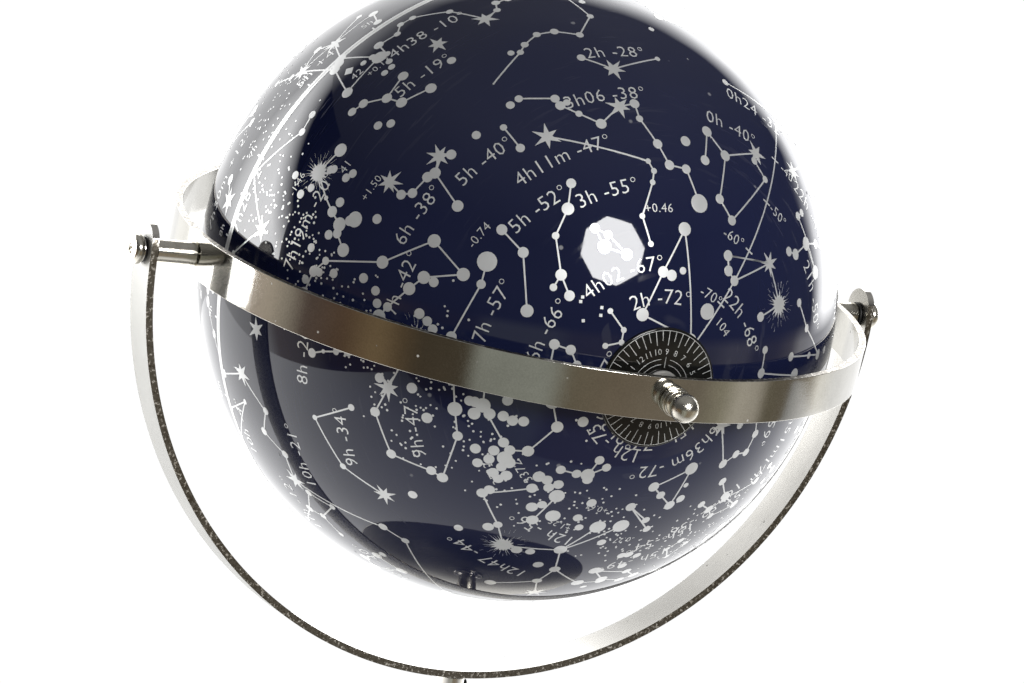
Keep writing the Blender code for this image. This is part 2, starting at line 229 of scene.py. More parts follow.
def plus(tree, base, mask, share):
    # base with this share of the mask added
    return mathNode(tree, "ADD", base, mathNode(tree, "MULTIPLY", mask, share))


def noiseNode(tree, vector, scale, detail, roughness, distortion=0.0):
    return addNode(tree, "TexNoise", {"Vector": vector, "Scale": scale, "Detail": detail,
                                      "Roughness": roughness, "Distortion": distortion})["Fac"]


def lineNoise(tree, along, scale, detail, roughness):
    # noise that changes along one value only
    return addNode(tree, "TexNoise", {"W": along, "Scale": scale, "Detail": detail, "Roughness": roughness},
                   noise_dimensions="1D")["Fac"]


def mixColour(tree, mask, first, second):
    colours = {6: first, 7: second}
    for socket, value in colours.items():
        if isinstance(value, tuple):
            colours[socket] = (*value, 1.0)
    return addNode(tree, "Mix", {"Factor": mask, **colours}, data_type="RGBA")[2]


def newGroup(name, inputs, outputs):
    # each float input comes with its value, and a vector with None
    group = bpy.data.node_groups.new(name, "ShaderNodeTree")
    for socket, value in inputs.items():
        kind = "NodeSocketVector" if value is None else "NodeSocketFloat"
        made = group.interface.new_socket(socket, in_out="INPUT", socket_type=kind)
        if value is not None:
            made.default_value = value
    for socket in outputs:
        group.interface.new_socket(socket, in_out="OUTPUT", socket_type="NodeSocketFloat")
    return group, group.nodes.new("NodeGroupInput").outputs, group.nodes.new("NodeGroupOutput")


def makeGrainGroup():
    # fine even grain over a slower unevenness, as on a tumbled or wiped metal
    group, given, outward = newGroup("surfaceGrain", {"Vector": None, "Scale": 900.0, "Cloud Scale": 40.0},
                                     ("Grain", "Clouds"))
    fine = noiseNode(group, given["Vector"], given["Scale"], 3.0, 0.7)
    slow = noiseNode(group, given["Vector"], given["Cloud Scale"], 4.0, 0.55)
    setInputs(group, outward, {"Grain": fine, "Clouds": slow})
    return group


def makeDustGroup():
    # sparse round specks of dust; Amount is the share of cells that hold one
    group, given, outward = newGroup("dustSpecks", {"Vector": None, "Scale": 300.0, "Amount": 0.1},
                                     ("Mask",))
    cells = addNode(group, "TexVoronoi", {"Vector": given["Vector"], "Scale": given["Scale"],
                                          "Randomness": 1.0}, feature="F1")
    speck = rangeNode(group, cells["Distance"], 0.10, 0.22, 1.0, 0.0)
    parts = addNode(group, "SeparateColor", {"Color": cells["Color"]})
    chosen = mathNode(group, "LESS_THAN", parts["Red"], given["Amount"])
    setInputs(group, outward, {"Mask": mathNode(group, "MULTIPLY", speck, chosen)})
    return group


def makeTurningGroup():
    # fine grooves left by a lathe: noise that changes along a profile but not round its axis
    group, given, outward = newGroup("turningMarks", {"Vector": None, "Centre": None, "Axis": None,
                                                      "Scale": 3000.0}, ("Lines",))
    out = vectorNode(group, "SUBTRACT", given["Vector"], given["Centre"])["Vector"]
    crossed = vectorNode(group, "CROSS_PRODUCT", out, given["Axis"])["Vector"]
    reach = vectorNode(group, "LENGTH", crossed)["Value"]
    height = mathNode(group, "ABSOLUTE", vectorNode(group, "DOT_PRODUCT", out, given["Axis"])["Value"])
    profile = mathNode(group, "SUBTRACT", reach, height)
    setInputs(group, outward, {"Lines": lineNoise(group, profile, given["Scale"], 3.0, 0.75)})
    return group


def makeScratchGroup():
    # hairline wiping scratches in three directions, broken up by a slower noise
    group, given, outward = newGroup("hairlines", {"Vector": None, "Scale": 60.0, "Density": 0.5},
                                     ("Mask",))
    total = 0.0
    for turn in ((0.3, 0.2, 0.5), (1.1, 0.7, -0.6), (-0.8, 1.3, 1.9)):
        stretched = addNode(group, "Mapping", {"Vector": given["Vector"], "Rotation": turn,
                                               "Scale": (1.0, 14.0, 1.0)})["Vector"]
        lines = noiseNode(group, stretched, given["Scale"], 2.0, 0.6, 0.25)
        total = mathNode(group, "MAXIMUM", total, rangeNode(group, lines, 0.66, 0.70))
    patches = rangeNode(group, noiseNode(group, given["Vector"], 22.0, 1.0, 0.5), 0.42, 0.62)
    broken = mathNode(group, "MULTIPLY", total, patches)
    setInputs(group, outward, {"Mask": mathNode(group, "MULTIPLY", broken, given["Density"])})
    return group


grainGroup = makeGrainGroup()
dustGroup = makeDustGroup()
scratchGroup = makeScratchGroup()
turningGroup = makeTurningGroup()


def spaced(values):
    return {key.replace("_", " "): value for key, value in values.items()}


def newMaterial(name, colour, **values):
    # a Principled material; values are set on the shader's own sockets
    material = bpy.data.materials.new(name)
    material.use_nodes = True
    material.diffuse_color = (*colour, 1.0)
    tree = material.node_tree
    setInputs(tree, tree.nodes["Principled BSDF"], {"Base Color": (*colour, 1.0), **spaced(values)})
    return material, tree, addNode(tree, "TexCoord")["Object"]


def placeGroup(tree, group, vector, **values):
    return addNode(tree, "Group", {"Vector": vector, **spaced(values)}, node_tree=group)


def dress(tree, colour, roughness, height, depth, strength=1.0, **inputs):
    # colour, roughness and relief go to the Principled shader
    normal = addNode(tree, "Bump", {"Height": height, "Distance": depth, "Strength": strength})["Normal"]
    setInputs(tree, tree.nodes["Principled BSDF"],
              {"Base Color": colour, "Roughness": roughness, "Normal": normal, **inputs})


metalFinishes = {
    # colour, darker colour, roughness range, grain scale, grain depth, dust share, metallic where clean
    "brightStrip": ((0.54, 0.53, 0.495), (0.43, 0.42, 0.39), (0.07, 0.12), 1800.0, 6.0e-6, 0.045, 1.0),
    "wipedStrip": ((0.42, 0.41, 0.385), (0.36, 0.35, 0.325), (0.22, 0.32), 1800.0, 6.0e-6, 0.045, 1.0),
    "brushedInside": ((0.40, 0.398, 0.382), (0.35, 0.348, 0.334), (0.50, 0.60), 1400.0, 8.0e-6, 0.03, 1.0),
    "polishedNickel": ((0.80, 0.775, 0.72), (0.74, 0.71, 0.65), (0.10, 0.16), 900.0, 6.0e-7, 0.012, 1.0),
    "plainTurned": ((0.58, 0.57, 0.55), (0.50, 0.49, 0.47), (0.20, 0.34), 900.0, 3.0e-6, 0.0, 1.0),
    "satinHub": ((0.44, 0.43, 0.41), (0.36, 0.35, 0.33), (0.34, 0.46), 1100.0, 5.0e-6, 0.02, 0.55),
    "blackOxide": ((0.035, 0.034, 0.033), (0.020, 0.020, 0.020), (0.30, 0.50), 900.0, 3.0e-6, 0.02, 1.0),
}
metalWear = {"cloudScale": 55.0, "hairScale": 95.0, "hairDensity": 0.6, "dustScale": 420.0,
             "hairBlur": 0.10, "dustBlur": 0.45, "dustMetallic": 0.25}
grainSpan = (0.3, 0.7)                    # the part of the grain's range that changes the roughness
metalDust = (0.62, 0.60, 0.55)


def makeMetal(name):
    colour, darker, roughness, scale, depth, dustShare, metallic = metalFinishes[name]
    material, tree, vector = newMaterial(name, colour, Metallic=1.0)
    grain = placeGroup(tree, grainGroup, vector, Scale=scale, Cloud_Scale=metalWear["cloudScale"])
    hairs = placeGroup(tree, scratchGroup, vector, Scale=metalWear["hairScale"],
                       Density=metalWear["hairDensity"])["Mask"]
    specks = placeGroup(tree, dustGroup, vector, Scale=metalWear["dustScale"], Amount=dustShare)["Mask"]
    mottle = mathNode(tree, "ADD", grain["Clouds"], grain["Grain"])
    mottled = mixColour(tree, rangeNode(tree, mottle, 0.75, 1.25), darker, colour)
    blur = rangeNode(tree, grain["Grain"], *grainSpan, *roughness)
    blur = plus(tree, blur, hairs, metalWear["hairBlur"])
    blur = plus(tree, blur, specks, metalWear["dustBlur"])
    bare = rangeNode(tree, specks, 0.0, 1.0, metallic, metalWear["dustMetallic"])
    dress(tree, mixColour(tree, specks, mottled, metalDust), blur, grain["Grain"], depth, Metallic=bare)
    return material


turnedFinish = {"colour": (0.78, 0.745, 0.66), "inGroove": (0.50, 0.47, 0.40), "roughness": (0.15, 0.24),
                "scale": 9000.0, "depth": 1.8e-5}


def makeTurned(name, axis):
    # bright nickel with lathe grooves about this axis through the ball's centre
    bright = turnedFinish["colour"]
    material, tree, vector = newMaterial(name, bright, Metallic=1.0)
    lines = placeGroup(tree, turningGroup, vector, Centre=ballCentre, Axis=axis,
                       Scale=turnedFinish["scale"])["Lines"]
    grain = placeGroup(tree, grainGroup, vector, Scale=900.0, Cloud_Scale=140.0)
    specks = placeGroup(tree, dustGroup, vector, Scale=500.0, Amount=0.02)["Mask"]
    mottle = mathNode(tree, "MULTIPLY", lines, grain["Clouds"])
    grooved = mixColour(tree, rangeNode(tree, mottle, 0.10, 0.26), turnedFinish["inGroove"], bright)
    blur = rangeNode(tree, grain["Grain"], *grainSpan, *turnedFinish["roughness"])
    dress(tree, mixColour(tree, specks, grooved, metalDust), blur, lines, turnedFinish["depth"])
    return material


cutFinish = {"colour": (0.42, 0.39, 0.34), "pits": (0.150, 0.134, 0.108), "torn": (0.66, 0.63, 0.57),
             "roughness": (0.24, 0.52), "depth": 2.0e-5, "strength": 0.8}


def makeCutEdge():
    # the strip's sheared edge: torn grain, darker in its pits
    material, tree, vector = newMaterial("shearedEdge", cutFinish["colour"], Metallic=1.0)
    grain = placeGroup(tree, grainGroup, vector, Scale=1100.0, Cloud_Scale=900.0)
    torn = rangeNode(tree, grain["Clouds"], 0.56, 0.62)
    blur = rangeNode(tree, grain["Grain"], *grainSpan, *cutFinish["roughness"])
    dress(tree, mixColour(tree, torn, cutFinish["pits"], cutFinish["torn"]), blur, grain["Clouds"],
          cutFinish["depth"], cutFinish["strength"])
    return material


glossFinish = {"navy": (0.0090, 0.0120, 0.041), "navyDeep": (0.0076, 0.0102, 0.034),
               "print": (0.665, 0.67, 0.665), "printWorn": (0.59, 0.595, 0.59),
               "black": (0.0055, 0.0050, 0.0045), "blackWorn": (0.010, 0.010, 0.009),
               "dust": (0.50, 0.50, 0.50), "roughness": 0.030, "silverRoughness": 0.40}


def makeGloss(name, colour, second, cloudScale, peel, rough=glossFinish["roughness"], **values):
    # lacquered surface: faint colour drift, a little orange peel, wiping marks and dust
    material, tree, vector = newMaterial(name, colour, IOR=1.5, **values)
    grain = placeGroup(tree, grainGroup, vector, Scale=420.0, Cloud_Scale=cloudScale)
    hairs = placeGroup(tree, scratchGroup, vector, Scale=48.0, Density=0.8)["Mask"]
    specks = placeGroup(tree, dustGroup, vector, Scale=260.0, Amount=0.020)["Mask"]
    drift = mixColour(tree, rangeNode(tree, grain["Clouds"], 0.35, 0.65), second, colour)
    dusty = mathNode(tree, "MULTIPLY", specks, 0.30)
    wiped = mathNode(tree, "MULTIPLY", hairs, 0.030)
    worn = mathNode(tree, "MAXIMUM", dusty, wiped)
    blur = plus(tree, plus(tree, rough, hairs, 0.16), specks, 0.5)
    dress(tree, mixColour(tree, worn, drift, glossFinish["dust"]), blur, grain["Clouds"], peel)
    return material


spunFinish = {"colour": (0.66, 0.64, 0.59), "groove": (0.40, 0.385, 0.35), "crest": (0.54, 0.525, 0.485),
              "dust": (0.5, 0.5, 0.47), "scale": 2600.0, "roughness": (0.20, 0.34), "depth": 1.2e-5}


def makeSpunSteel():
    # circular brushing about the stand's axis: noise that only changes with the radius
    material, tree, vector = newMaterial("spunSteel", spunFinish["colour"], Metallic=1.0, Anisotropic=0.35)
    flat = vectorNode(tree, "MULTIPLY", vector, (1.0, 1.0, 0.0))["Vector"]
    lines = lineNoise(tree, vectorNode(tree, "LENGTH", flat)["Value"], spunFinish["scale"], 4.0, 0.8)
    clouds = placeGroup(tree, grainGroup, vector, Scale=700.0, Cloud_Scale=30.0)["Clouds"]
    specks = placeGroup(tree, dustGroup, vector, Scale=300.0, Amount=0.04)["Mask"]
    brushed = mixColour(tree, lines, spunFinish["groove"], spunFinish["crest"])
    blur = plus(tree, rangeNode(tree, lines, 0.25, 0.75, *spunFinish["roughness"]), clouds, 0.06)
    dress(tree, mixColour(tree, specks, brushed, spunFinish["dust"]), blur, lines, spunFinish["depth"])
    return material


def makePlain(name, colour, second, roughness, scale, depth, cloudScale=60.0):
    # moulded plastic, cast iron and felt: grain in colour, roughness and height
    material, tree, vector = newMaterial(name, colour)
    grain = placeGroup(tree, grainGroup, vector, Scale=scale, Cloud_Scale=cloudScale)
    mixed = rangeNode(tree, mathNode(tree, "MULTIPLY", grain["Grain"], grain["Clouds"]), 0.12, 0.40)
    blur = rangeNode(tree, grain["Grain"], *grainSpan, roughness * 0.85, min(1.0, roughness * 1.12))
    dress(tree, mixColour(tree, mixed, second, colour), blur, grain["Grain"], depth)
    return material


stripSteel = makeMetal("brightStrip")
yokeOutside = makeMetal("wipedStrip")
yokeInside = makeMetal("brushedInside")
nickel = makeMetal("polishedNickel")
poleNickel = makeTurned("turnedNickelPole", northAxis)
pivotNickel = makeTurned("turnedNickelPivot", pivotAxis)
turnedSteel = makeMetal("plainTurned")
satinHub = makeMetal("satinHub")
blackSteel = makeMetal("blackOxide")
cutEdge = makeCutEdge()
spunSteel = makeSpunSteel()
navyGloss = makeGloss("navyGloss", glossFinish["navy"], glossFinish["navyDeep"], 14.0, 2.0e-5)
printGrey = makeGloss("silverPrint", glossFinish["print"], glossFinish["printWorn"], 90.0, 2.0e-5,
                      glossFinish["silverRoughness"], Metallic=0.5, Coat_Weight=1.0, Coat_Roughness=0.03)
dialGloss = makeGloss("blackGloss", glossFinish["black"], glossFinish["blackWorn"], 60.0, 1.0e-5)
castIron = makePlain("castIron", (0.075, 0.073, 0.070), (0.035, 0.033, 0.031), 0.75, 420.0, 1.5e-4)
blackNylonAndGapShade = makePlain("blackNylonAndGapShade", (0.016, 0.016, 0.016), (0.009, 0.009, 0.009), 0.45, 900.0, 1.0e-5)
whitePlastic = makePlain("whitePlastic", (0.74, 0.74, 0.71), (0.66, 0.66, 0.63), 0.42, 500.0, 1.0e-5)
blackFelt = makePlain("blackFelt", (0.030, 0.030, 0.033), (0.010, 0.010, 0.011), 0.95, 900.0, 2.5e-4, 300.0)
print("materials made:", len(bpy.data.materials))


# what the frame says about each CAD node

bodyOf = {node: body for body, nodes in frame["record"]["behaviour"]["bodies"].items() for node in nodes}
slotOf = {part["node"]: part["material_slot"] for part in frame["record"]["subparts"]}


def turnedSize(node, place):
    # a turned CAD node's bore radius, outer radius, bottom and top about the place's axis
    inverse = place.inverted()
    points = [inverse @ v.co for v in frame["nodes"][node].data.vertices]
    radii = [math.hypot(p.x, p.y) for p in points]
    heights = [p.z for p in points]
    return min(radii), max(radii), min(heights), max(heights)


def standIn(name, work, place, materials, node, **settings):
    # a finer piece that stands for one CAD node and rides where it rides
    return finishPiece(name, work, place, materials, bodyOf[node], slotOf[node], [node], **settings)


# ring and yoke: flat strip, punched, bent and eased along its edges

stripShape = {
    "cells": 8,                       # grid cells across the strip
    "ringColumns": 400,               # columns round the ring
    "seamColumn": 6,                  # the ring's weld lies this many columns from the south pole
    "armColumns": 92,                 # columns from the yoke's middle to a pivot
    "edgeEase": 0.00085,
    "tipAngle": math.radians(87),     # the full-round end stops this far round
    "tipColumns": 10,
    "straightColumns": 2,             # the arms run straight this far past the pivots before they round off
    "sunkCells": 6,                   # cells cut out for the countersunk hole
    "sunkReach": 1.05,                # its far side's points lie within this many radii
    "cornerAngle": math.radians(50),
    "edgeSlant": 0.955,               # faces turned this far to the side are the sheared edge,
    "cornerSlant": 0.12,              # and this far its polished corners
    "insideFacing": -0.6,
}


def flatStrip(first, last, width):
    # a sheet in XY, rolled along X; X counts columns until the sheet is bent
    work = bmesh.new()
    bmesh.ops.create_grid(work, x_segments=last - first, y_segments=stripShape["cells"], size=0.5)
    bmesh.ops.scale(work, vec=(last - first, width, 1), verts=work.verts)
    bmesh.ops.translate(work, vec=((first + last) / 2, 0, 0), verts=work.verts)
    return work


def punch(work, column, radius, columnLength, width, cells=4):
    # a round hole: a patch of cells comes out and its rim is bridged to a circle
    reachWide = cells * width / stripShape["cells"] / 2
    patch = [face for face in work.faces
             if abs(face.calc_center_median().x - column) < cells / 2
             and abs(face.calc_center_median().y) < reachWide]
    inside = set(patch)
    border = [edge for edge in {edge for face in patch for edge in face.edges}
              if sum(face in inside for face in edge.link_faces) == 1]
    bmesh.ops.delete(work, geom=patch, context="FACES")
    ring = bmesh.ops.create_circle(work, segments=len(border), radius=radius)["verts"]
    bmesh.ops.scale(work, vec=(1 / columnLength, 1, 1), verts=ring)
    bmesh.ops.translate(work, vec=(column, 0, 0), verts=ring)
    circle = list({edge for vert in ring for edge in vert.link_edges})
    bmesh.ops.bridge_loops(work, edges=border + circle)


def thicken(work, lift):
    # the sheet becomes a closed slab; lift moves a copied vertex to the far side
    grown = bmesh.ops.extrude_face_region(work, geom=work.faces[:], use_keep_orig=True)
    for item in grown["geom"]:
        if isinstance(item, bmesh.types.BMVert):
            item.co = lift(item.co)
    bmesh.ops.recalc_face_normals(work, faces=work.faces)


def easeStrip(work):
    corners = [edge for edge in work.edges
               if edge.is_manifold and edge.calc_face_angle() > stripShape["cornerAngle"]]
    bmesh.ops.bevel(work, geom=corners, offset=stripShape["edgeEase"], segments=3, profile=0.5,
                    affect="EDGES", material=-1, clamp_overlap=True)
    bmesh.ops.recalc_face_normals(work, faces=work.faces)
    for face in work.faces:
        slant = abs(face.normal.z)
        if slant > stripShape["edgeSlant"]:
            face.material_index = 1       # the sheared edge
        elif slant > stripShape["cornerSlant"]:
            face.material_index = 2       # its polished corners


def buildRing():
    inner, outer, bottom, top = turnedSize("meridian_ring", ringPlace)
    width = top - bottom
    columns, seam = stripShape["ringColumns"], stripShape["seamColumn"]
    columnAngle = math.tau / columns
    work = flatStrip(-seam, columns - seam, width)
    holes = [turnedSize("meridian_ring", place)[0]
             for place in (polePlace["south"], tiltedPivotPlace["left"])]
    for quarter in range(4):
        punch(work, quarter * columns // 4, holes[quarter % 2], columnAngle * inner, width)
    for vert in work.verts:
        angle = vert.co.x * columnAngle
        vert.co = Vector((inner * math.cos(angle), inner * math.sin(angle), vert.co.y))
    bmesh.ops.remove_doubles(work, verts=work.verts, dist=1e-6)
    bmesh.ops.recalc_face_normals(work, faces=work.faces)
    thicken(work, lambda co: Vector((co.x * outer / inner, co.y * outer / inner, co.z)))
    easeStrip(work)
    standIn("ringStrip", work, ringPlace, (stripSteel, cutEdge, nickel), "meridian_ring")


def buildYoke():
    low, high = extent("yoke", yokePlace)
    inner, outer = turnedSize("yoke", yokePlace)[0], high.x
    width, lug = high.z - low.z, -low.x
    arm, tips = stripShape["armColumns"], stripShape["tipColumns"]
    columnAngle = math.pi / 2 / arm
    columnLength = columnAngle * inner
    straight = stripShape["straightColumns"]
    last = arm + straight + tips
    work = flatStrip(-last, last, width)
    screwHole = turnedSize("yoke", pivotPlace["left"])[0]
    headHole = turnedSize("yoke_screw", axisPlace(upAxis, pivotAxis, ballCentre))[1] + turnGap
    for column in (-arm, arm):
        punch(work, column, screwHole, columnLength, width)
    punch(work, 0, headHole, columnLength, width, cells=stripShape["sunkCells"])
    thicken(work, lambda co: Vector((co.x, co.y, outer - inner)))
    for vert in work.verts:
        across = math.hypot(vert.co.x * columnLength, vert.co.y)
        if vert.co.z > 0 and across < headHole * stripShape["sunkReach"]:
            # the far side of the countersunk hole is small
            vert.co = Vector((vert.co.x * screwHole / across, vert.co.y * screwHole / across, vert.co.z))
    tipRadius = width / 2
    tipStart = lug - tipRadius
    firstAngle = math.asin((straight * columnLength - tipStart) / tipRadius)
    for vert in work.verts:
        along, across, radius = vert.co.x, vert.co.y, inner + vert.co.z
        side = math.copysign(1, along)
        past = abs(along) - arm
        if past <= 0:
            angle = along * columnAngle
            vert.co = Vector((radius * math.cos(angle), radius * math.sin(angle), across))
            continue
        climb = past * columnLength
        if past > straight:
            angle = firstAngle + (stripShape["tipAngle"] - firstAngle) * (past - straight) / tips
            climb = tipStart + tipRadius * math.sin(angle)
        narrow = math.sqrt(max(0.0, 1 - (max(0.0, climb - tipStart) / tipRadius) ** 2))
        vert.co = Vector((-climb, side * radius, across * narrow))
    easeStrip(work)
    for face in work.faces:
        # the arms run straight past the pivots
        centre = face.calc_center_median()
        outward = Vector((max(0.0, centre.x), centre.y, 0)).normalized()
        if face.material_index == 0 and face.normal.dot(outward) < stripShape["insideFacing"]:
            face.material_index = 3
    standIn("yokeStrip", work, yokePlace, (yokeOutside, cutEdge, nickel, yokeInside), "yoke")


buildRing()
buildYoke()
print("strips bent")


# screws, nuts, washers and tubes

turnedShape = {
    "steps": 64,
    "smallEase": 0.00025,
    "recessArm": 0.0023,
    "recessWidth": 0.0010,
    "recessDepth": 0.0016,
    "recessTaper": 0.45,
    "nutChamfer": 0.00035,
    "gapShadeBand": 0.0004,      # the outer washer is steel over a black band this high: painted shade of the gap between washer and strip
    "recessTurn": 0.5,
    "smallSteps": 32,
}

panShape = {
    "shoulder": 0.32,         # the rounded shoulder's radius, as a share of the head's
    "crownStep": 0.30,
    "crownDrop": 0.055,       # the rest are shares of the head's height
    "shoulderHeight": 0.36,
    "rimHeight": 0.06,
    "seatRadius": 0.97,
}


def carveCross(work, top):
    # a tapered cross recess, as a driver's tip leaves it
    for turn in (turnedShape["recessTurn"], turnedShape["recessTurn"] + math.pi / 2):
        arm = bmesh.new()
        bmesh.ops.create_cube(arm, size=1.0)
        for vert in arm.verts:
            taper = 1.0 if vert.co.z > 0 else turnedShape["recessTaper"]
            vert.co.x *= taper
            vert.co.y *= 0.5 + taper / 2
        scale = (2 * turnedShape["recessArm"], turnedShape["recessWidth"], 2 * turnedShape["recessDepth"])
        bmesh.ops.scale(arm, vec=scale, verts=arm.verts)
        bmesh.ops.rotate(arm, matrix=Matrix.Rotation(turn, 3, "Z"), verts=arm.verts)
        bmesh.ops.translate(arm, vec=(0, 0, top), verts=arm.verts)
        work = carve(work, arm)
    return work


def panScrew(name, node, place, shank, seat):
    radius, bottom, top = turnedSize(node, place)[1:]
    height, shoulder = top - seat, radius * panShape["shoulder"]
    crown = [(radius * panShape["crownStep"] * step, top - panShape["crownDrop"] * height * step * step)
             for step in range(3)]
    side = arc(shoulder, 72, 0, 6, (radius - shoulder, seat + height * panShape["shoulderHeight"]))
    outline = crown + side + [(radius, seat + height * panShape["rimHeight"]),
                              (radius * panShape["seatRadius"], seat), (shank, seat)]
    outline += [(shank, bottom + shank * 0.2), (shank * 0.8, bottom), (0, bottom)]
    work = carveCross(lathe(outline, turnedShape["steps"]), top)
    standIn(name, work, place, (pivotNickel,), node, sharp=40)


def hexNut(name, node, place, material):
    bore, radius, bottom, top = turnedSize(node, place)
    chamfer = turnedShape["nutChamfer"]
    outline = [(0, top), (radius - 2 * chamfer, top), (radius, top - chamfer),
               (radius, bottom + chamfer), (radius - 2 * chamfer, bottom), (0, bottom)]
    work = carve(lathe(outline, 6), rod(bore, bottom - turnGap, top + turnGap, turnedShape["smallSteps"]))
    standIn(name, work, place, (material,), node, sharp=20)


def plainTube(name, node, place, material, ease=turnedShape["smallEase"], steps=turnedShape["steps"]):
    bore, radius, bottom, top = turnedSize(node, place)
    standIn(name, tube(radius, bore, bottom, top, ease, steps), place, (material,), node)


def buildPivot(side):
    still, tilting = pivotPlace[side], tiltedPivotPlace[side]
    spacer, washer, screw = "pivot_spacer_" + side, "pivot_washer_" + side, "pivot_screw_" + side
    shank = turnedSize(spacer, tilting)[0] - turnGap
    seat = turnedSize(washer, still)[3] + turnGap
    bore, radius, bottom, top = turnedSize(washer, still)
    work = tube(radius, bore, bottom, top, turnedShape["smallEase"], turnedShape["steps"])
    # the washer's lowest band gets the black material: painted shade of the gap between washer and strip; the
    # faces above it are steel
    bmesh.ops.bisect_plane(work, geom=work.verts[:] + work.edges[:] + work.faces[:],
                           plane_co=(0, 0, bottom + turnedShape["gapShadeBand"]), plane_no=(0, 0, 1))
    for face in work.faces:
        if face.calc_center_median().z > bottom + turnedShape["gapShadeBand"]:
            face.material_index = 1
    standIn("outerWasher." + side, work, still, (blackNylonAndGapShade, nickel), washer)
    plainTube("frictionWasher." + side, "pivot_friction_washer_" + side, still, blackNylonAndGapShade)
    plainTube("spacerTube." + side, spacer, tilting, pivotNickel, 0.0004)
    panScrew("pivotScrew." + side, screw, tilting, shank, seat)
    hexNut("pivotNut." + side, "pivot_nut_" + side, tilting, nickel)


finialShape = {
    "collarEase": 0.00055,
    "secondCollar": 0.93,     # shares of the collar's radius
    "groove": 0.84,
    "neck": 0.64,
    "grooveWidth": 0.00035,
    "secondLength": 0.0010,
    "ballSteps": 20,
    "ballEnd": 0.967,
}


def buildFinial(pole):
    # turned in one piece: collar, groove, second collar, dark neck, ball end, and the pin inside the ring
    place, node = polePlace[pole], "finial_" + pole
    collar, tip, top = turnedSize(node, place)[1:]
    pin = turnedSize("pole_bush_" + pole, place)[0] - turnGap
    seat = turnedSize("meridian_ring", ringPlace)[1] + turnGap
    ballEnd = collar * finialShape["ballEnd"]
    middle = top - ballEnd
    neck, groove, second = (collar * finialShape[key] for key in ("neck", "groove", "secondCollar"))
    ease, gap, length = (finialShape[key] for key in ("collarEase", "grooveWidth", "secondLength"))
    neckTop = middle - math.sqrt(ballEnd ** 2 - neck ** 2)
    shoulder = neckTop - length - 2 * gap
    lowAngle = -math.degrees(math.acos(neck / ballEnd))
    outline = arc(ballEnd, 90, lowAngle, finialShape["ballSteps"], (0, middle))
    outline[0] = (0, top)
    rings = [(neck, neckTop - gap), (second, neckTop - gap), (second, neckTop - gap - length),
             (groove, neckTop - gap - length), (groove, shoulder), (collar, shoulder), (collar, seat),
             (pin, seat)]
    outline += eased([(neck, neckTop)] + rings, ease, 5)[1:]
    outline += [(pin, tip + pin * 0.3), (pin * 0.7, tip), (0, tip)]
    standIn("finial." + pole, lathe(outline, turnedShape["steps"] * 2), place, (poleNickel,), node)
    hexNut("finialNut." + pole, "finial_nut_" + pole, place, nickel)


for side in pivotPlace:
    buildPivot(side)
for pole in polePlace:
    buildFinial(pole)
print("pivots and finials turned")


# stand

standShape = {
    "coverSteps": 160,
    "domePoints": 14,
    "rimPoints": 8,
    "coverRim": 0.0018,       # radius of the cover's rounded rim
    "coverEdge": 0.0060,      # height at which the dome starts
    "coverWall": 0.0012,
    "padEase": 0.0005,
    "postRadius": 0.0044,
    "postFillet": 0.0022,
    "footHeight": 0.0030,
    "footEase": 0.0007,
    "boreDepth": 0.0122,      # the threaded hole in the post's top
    "studChamfer": 0.0003,
    "grubEase": 0.0002,
    "slotWidth": 0.0005,
    "slotDepth": 0.0016,
}


def buildBase():
    bore, radius, bottom, top = turnedSize("base_cover", uprightPlace)
    rim = standShape["coverRim"]
    edge = bottom + standShape["coverEdge"]
    dome = radius - rim
    rise = top - edge
    sphere = (dome ** 2 + rise ** 2) / (2 * rise)

    def domeLine(drop, last):
        reach = (last - bore) / standShape["domePoints"]
        radii = [bore + reach * step for step in range(standShape["domePoints"] + 1)]
        return [(out, top - drop - sphere + math.sqrt(sphere ** 2 - out ** 2)) for out in radii]

    thick = standShape["coverWall"]
    outer = domeLine(0, dome) + arc(rim, 86, 0, standShape["rimPoints"], (radius - rim, edge - rim))
    inner = domeLine(thick, dome - thick) + arc(rim - thick, 86, 0, 4, (radius - rim, edge - rim))
    foot = [(radius, bottom + 0.0002), (radius - 0.0002, bottom), (radius - thick, bottom)]
    cover = lathe(outer + foot + inner[::-1], standShape["coverSteps"])
    standIn("spunCover", cover, uprightPlace, (spunSteel,), "base_cover")

    bore, radius, bottom, top = turnedSize("base_pad", uprightPlace)
    pad = tube(radius, bore, bottom, top, standShape["padEase"], standShape["coverSteps"])
    standIn("feltPad", pad, uprightPlace, (blackFelt,), "base_pad")
    plainTube("studWasher", "post_washer", uprightPlace, turnedSteel)
    hexNut("studNut", "post_nut", uprightPlace, turnedSteel)


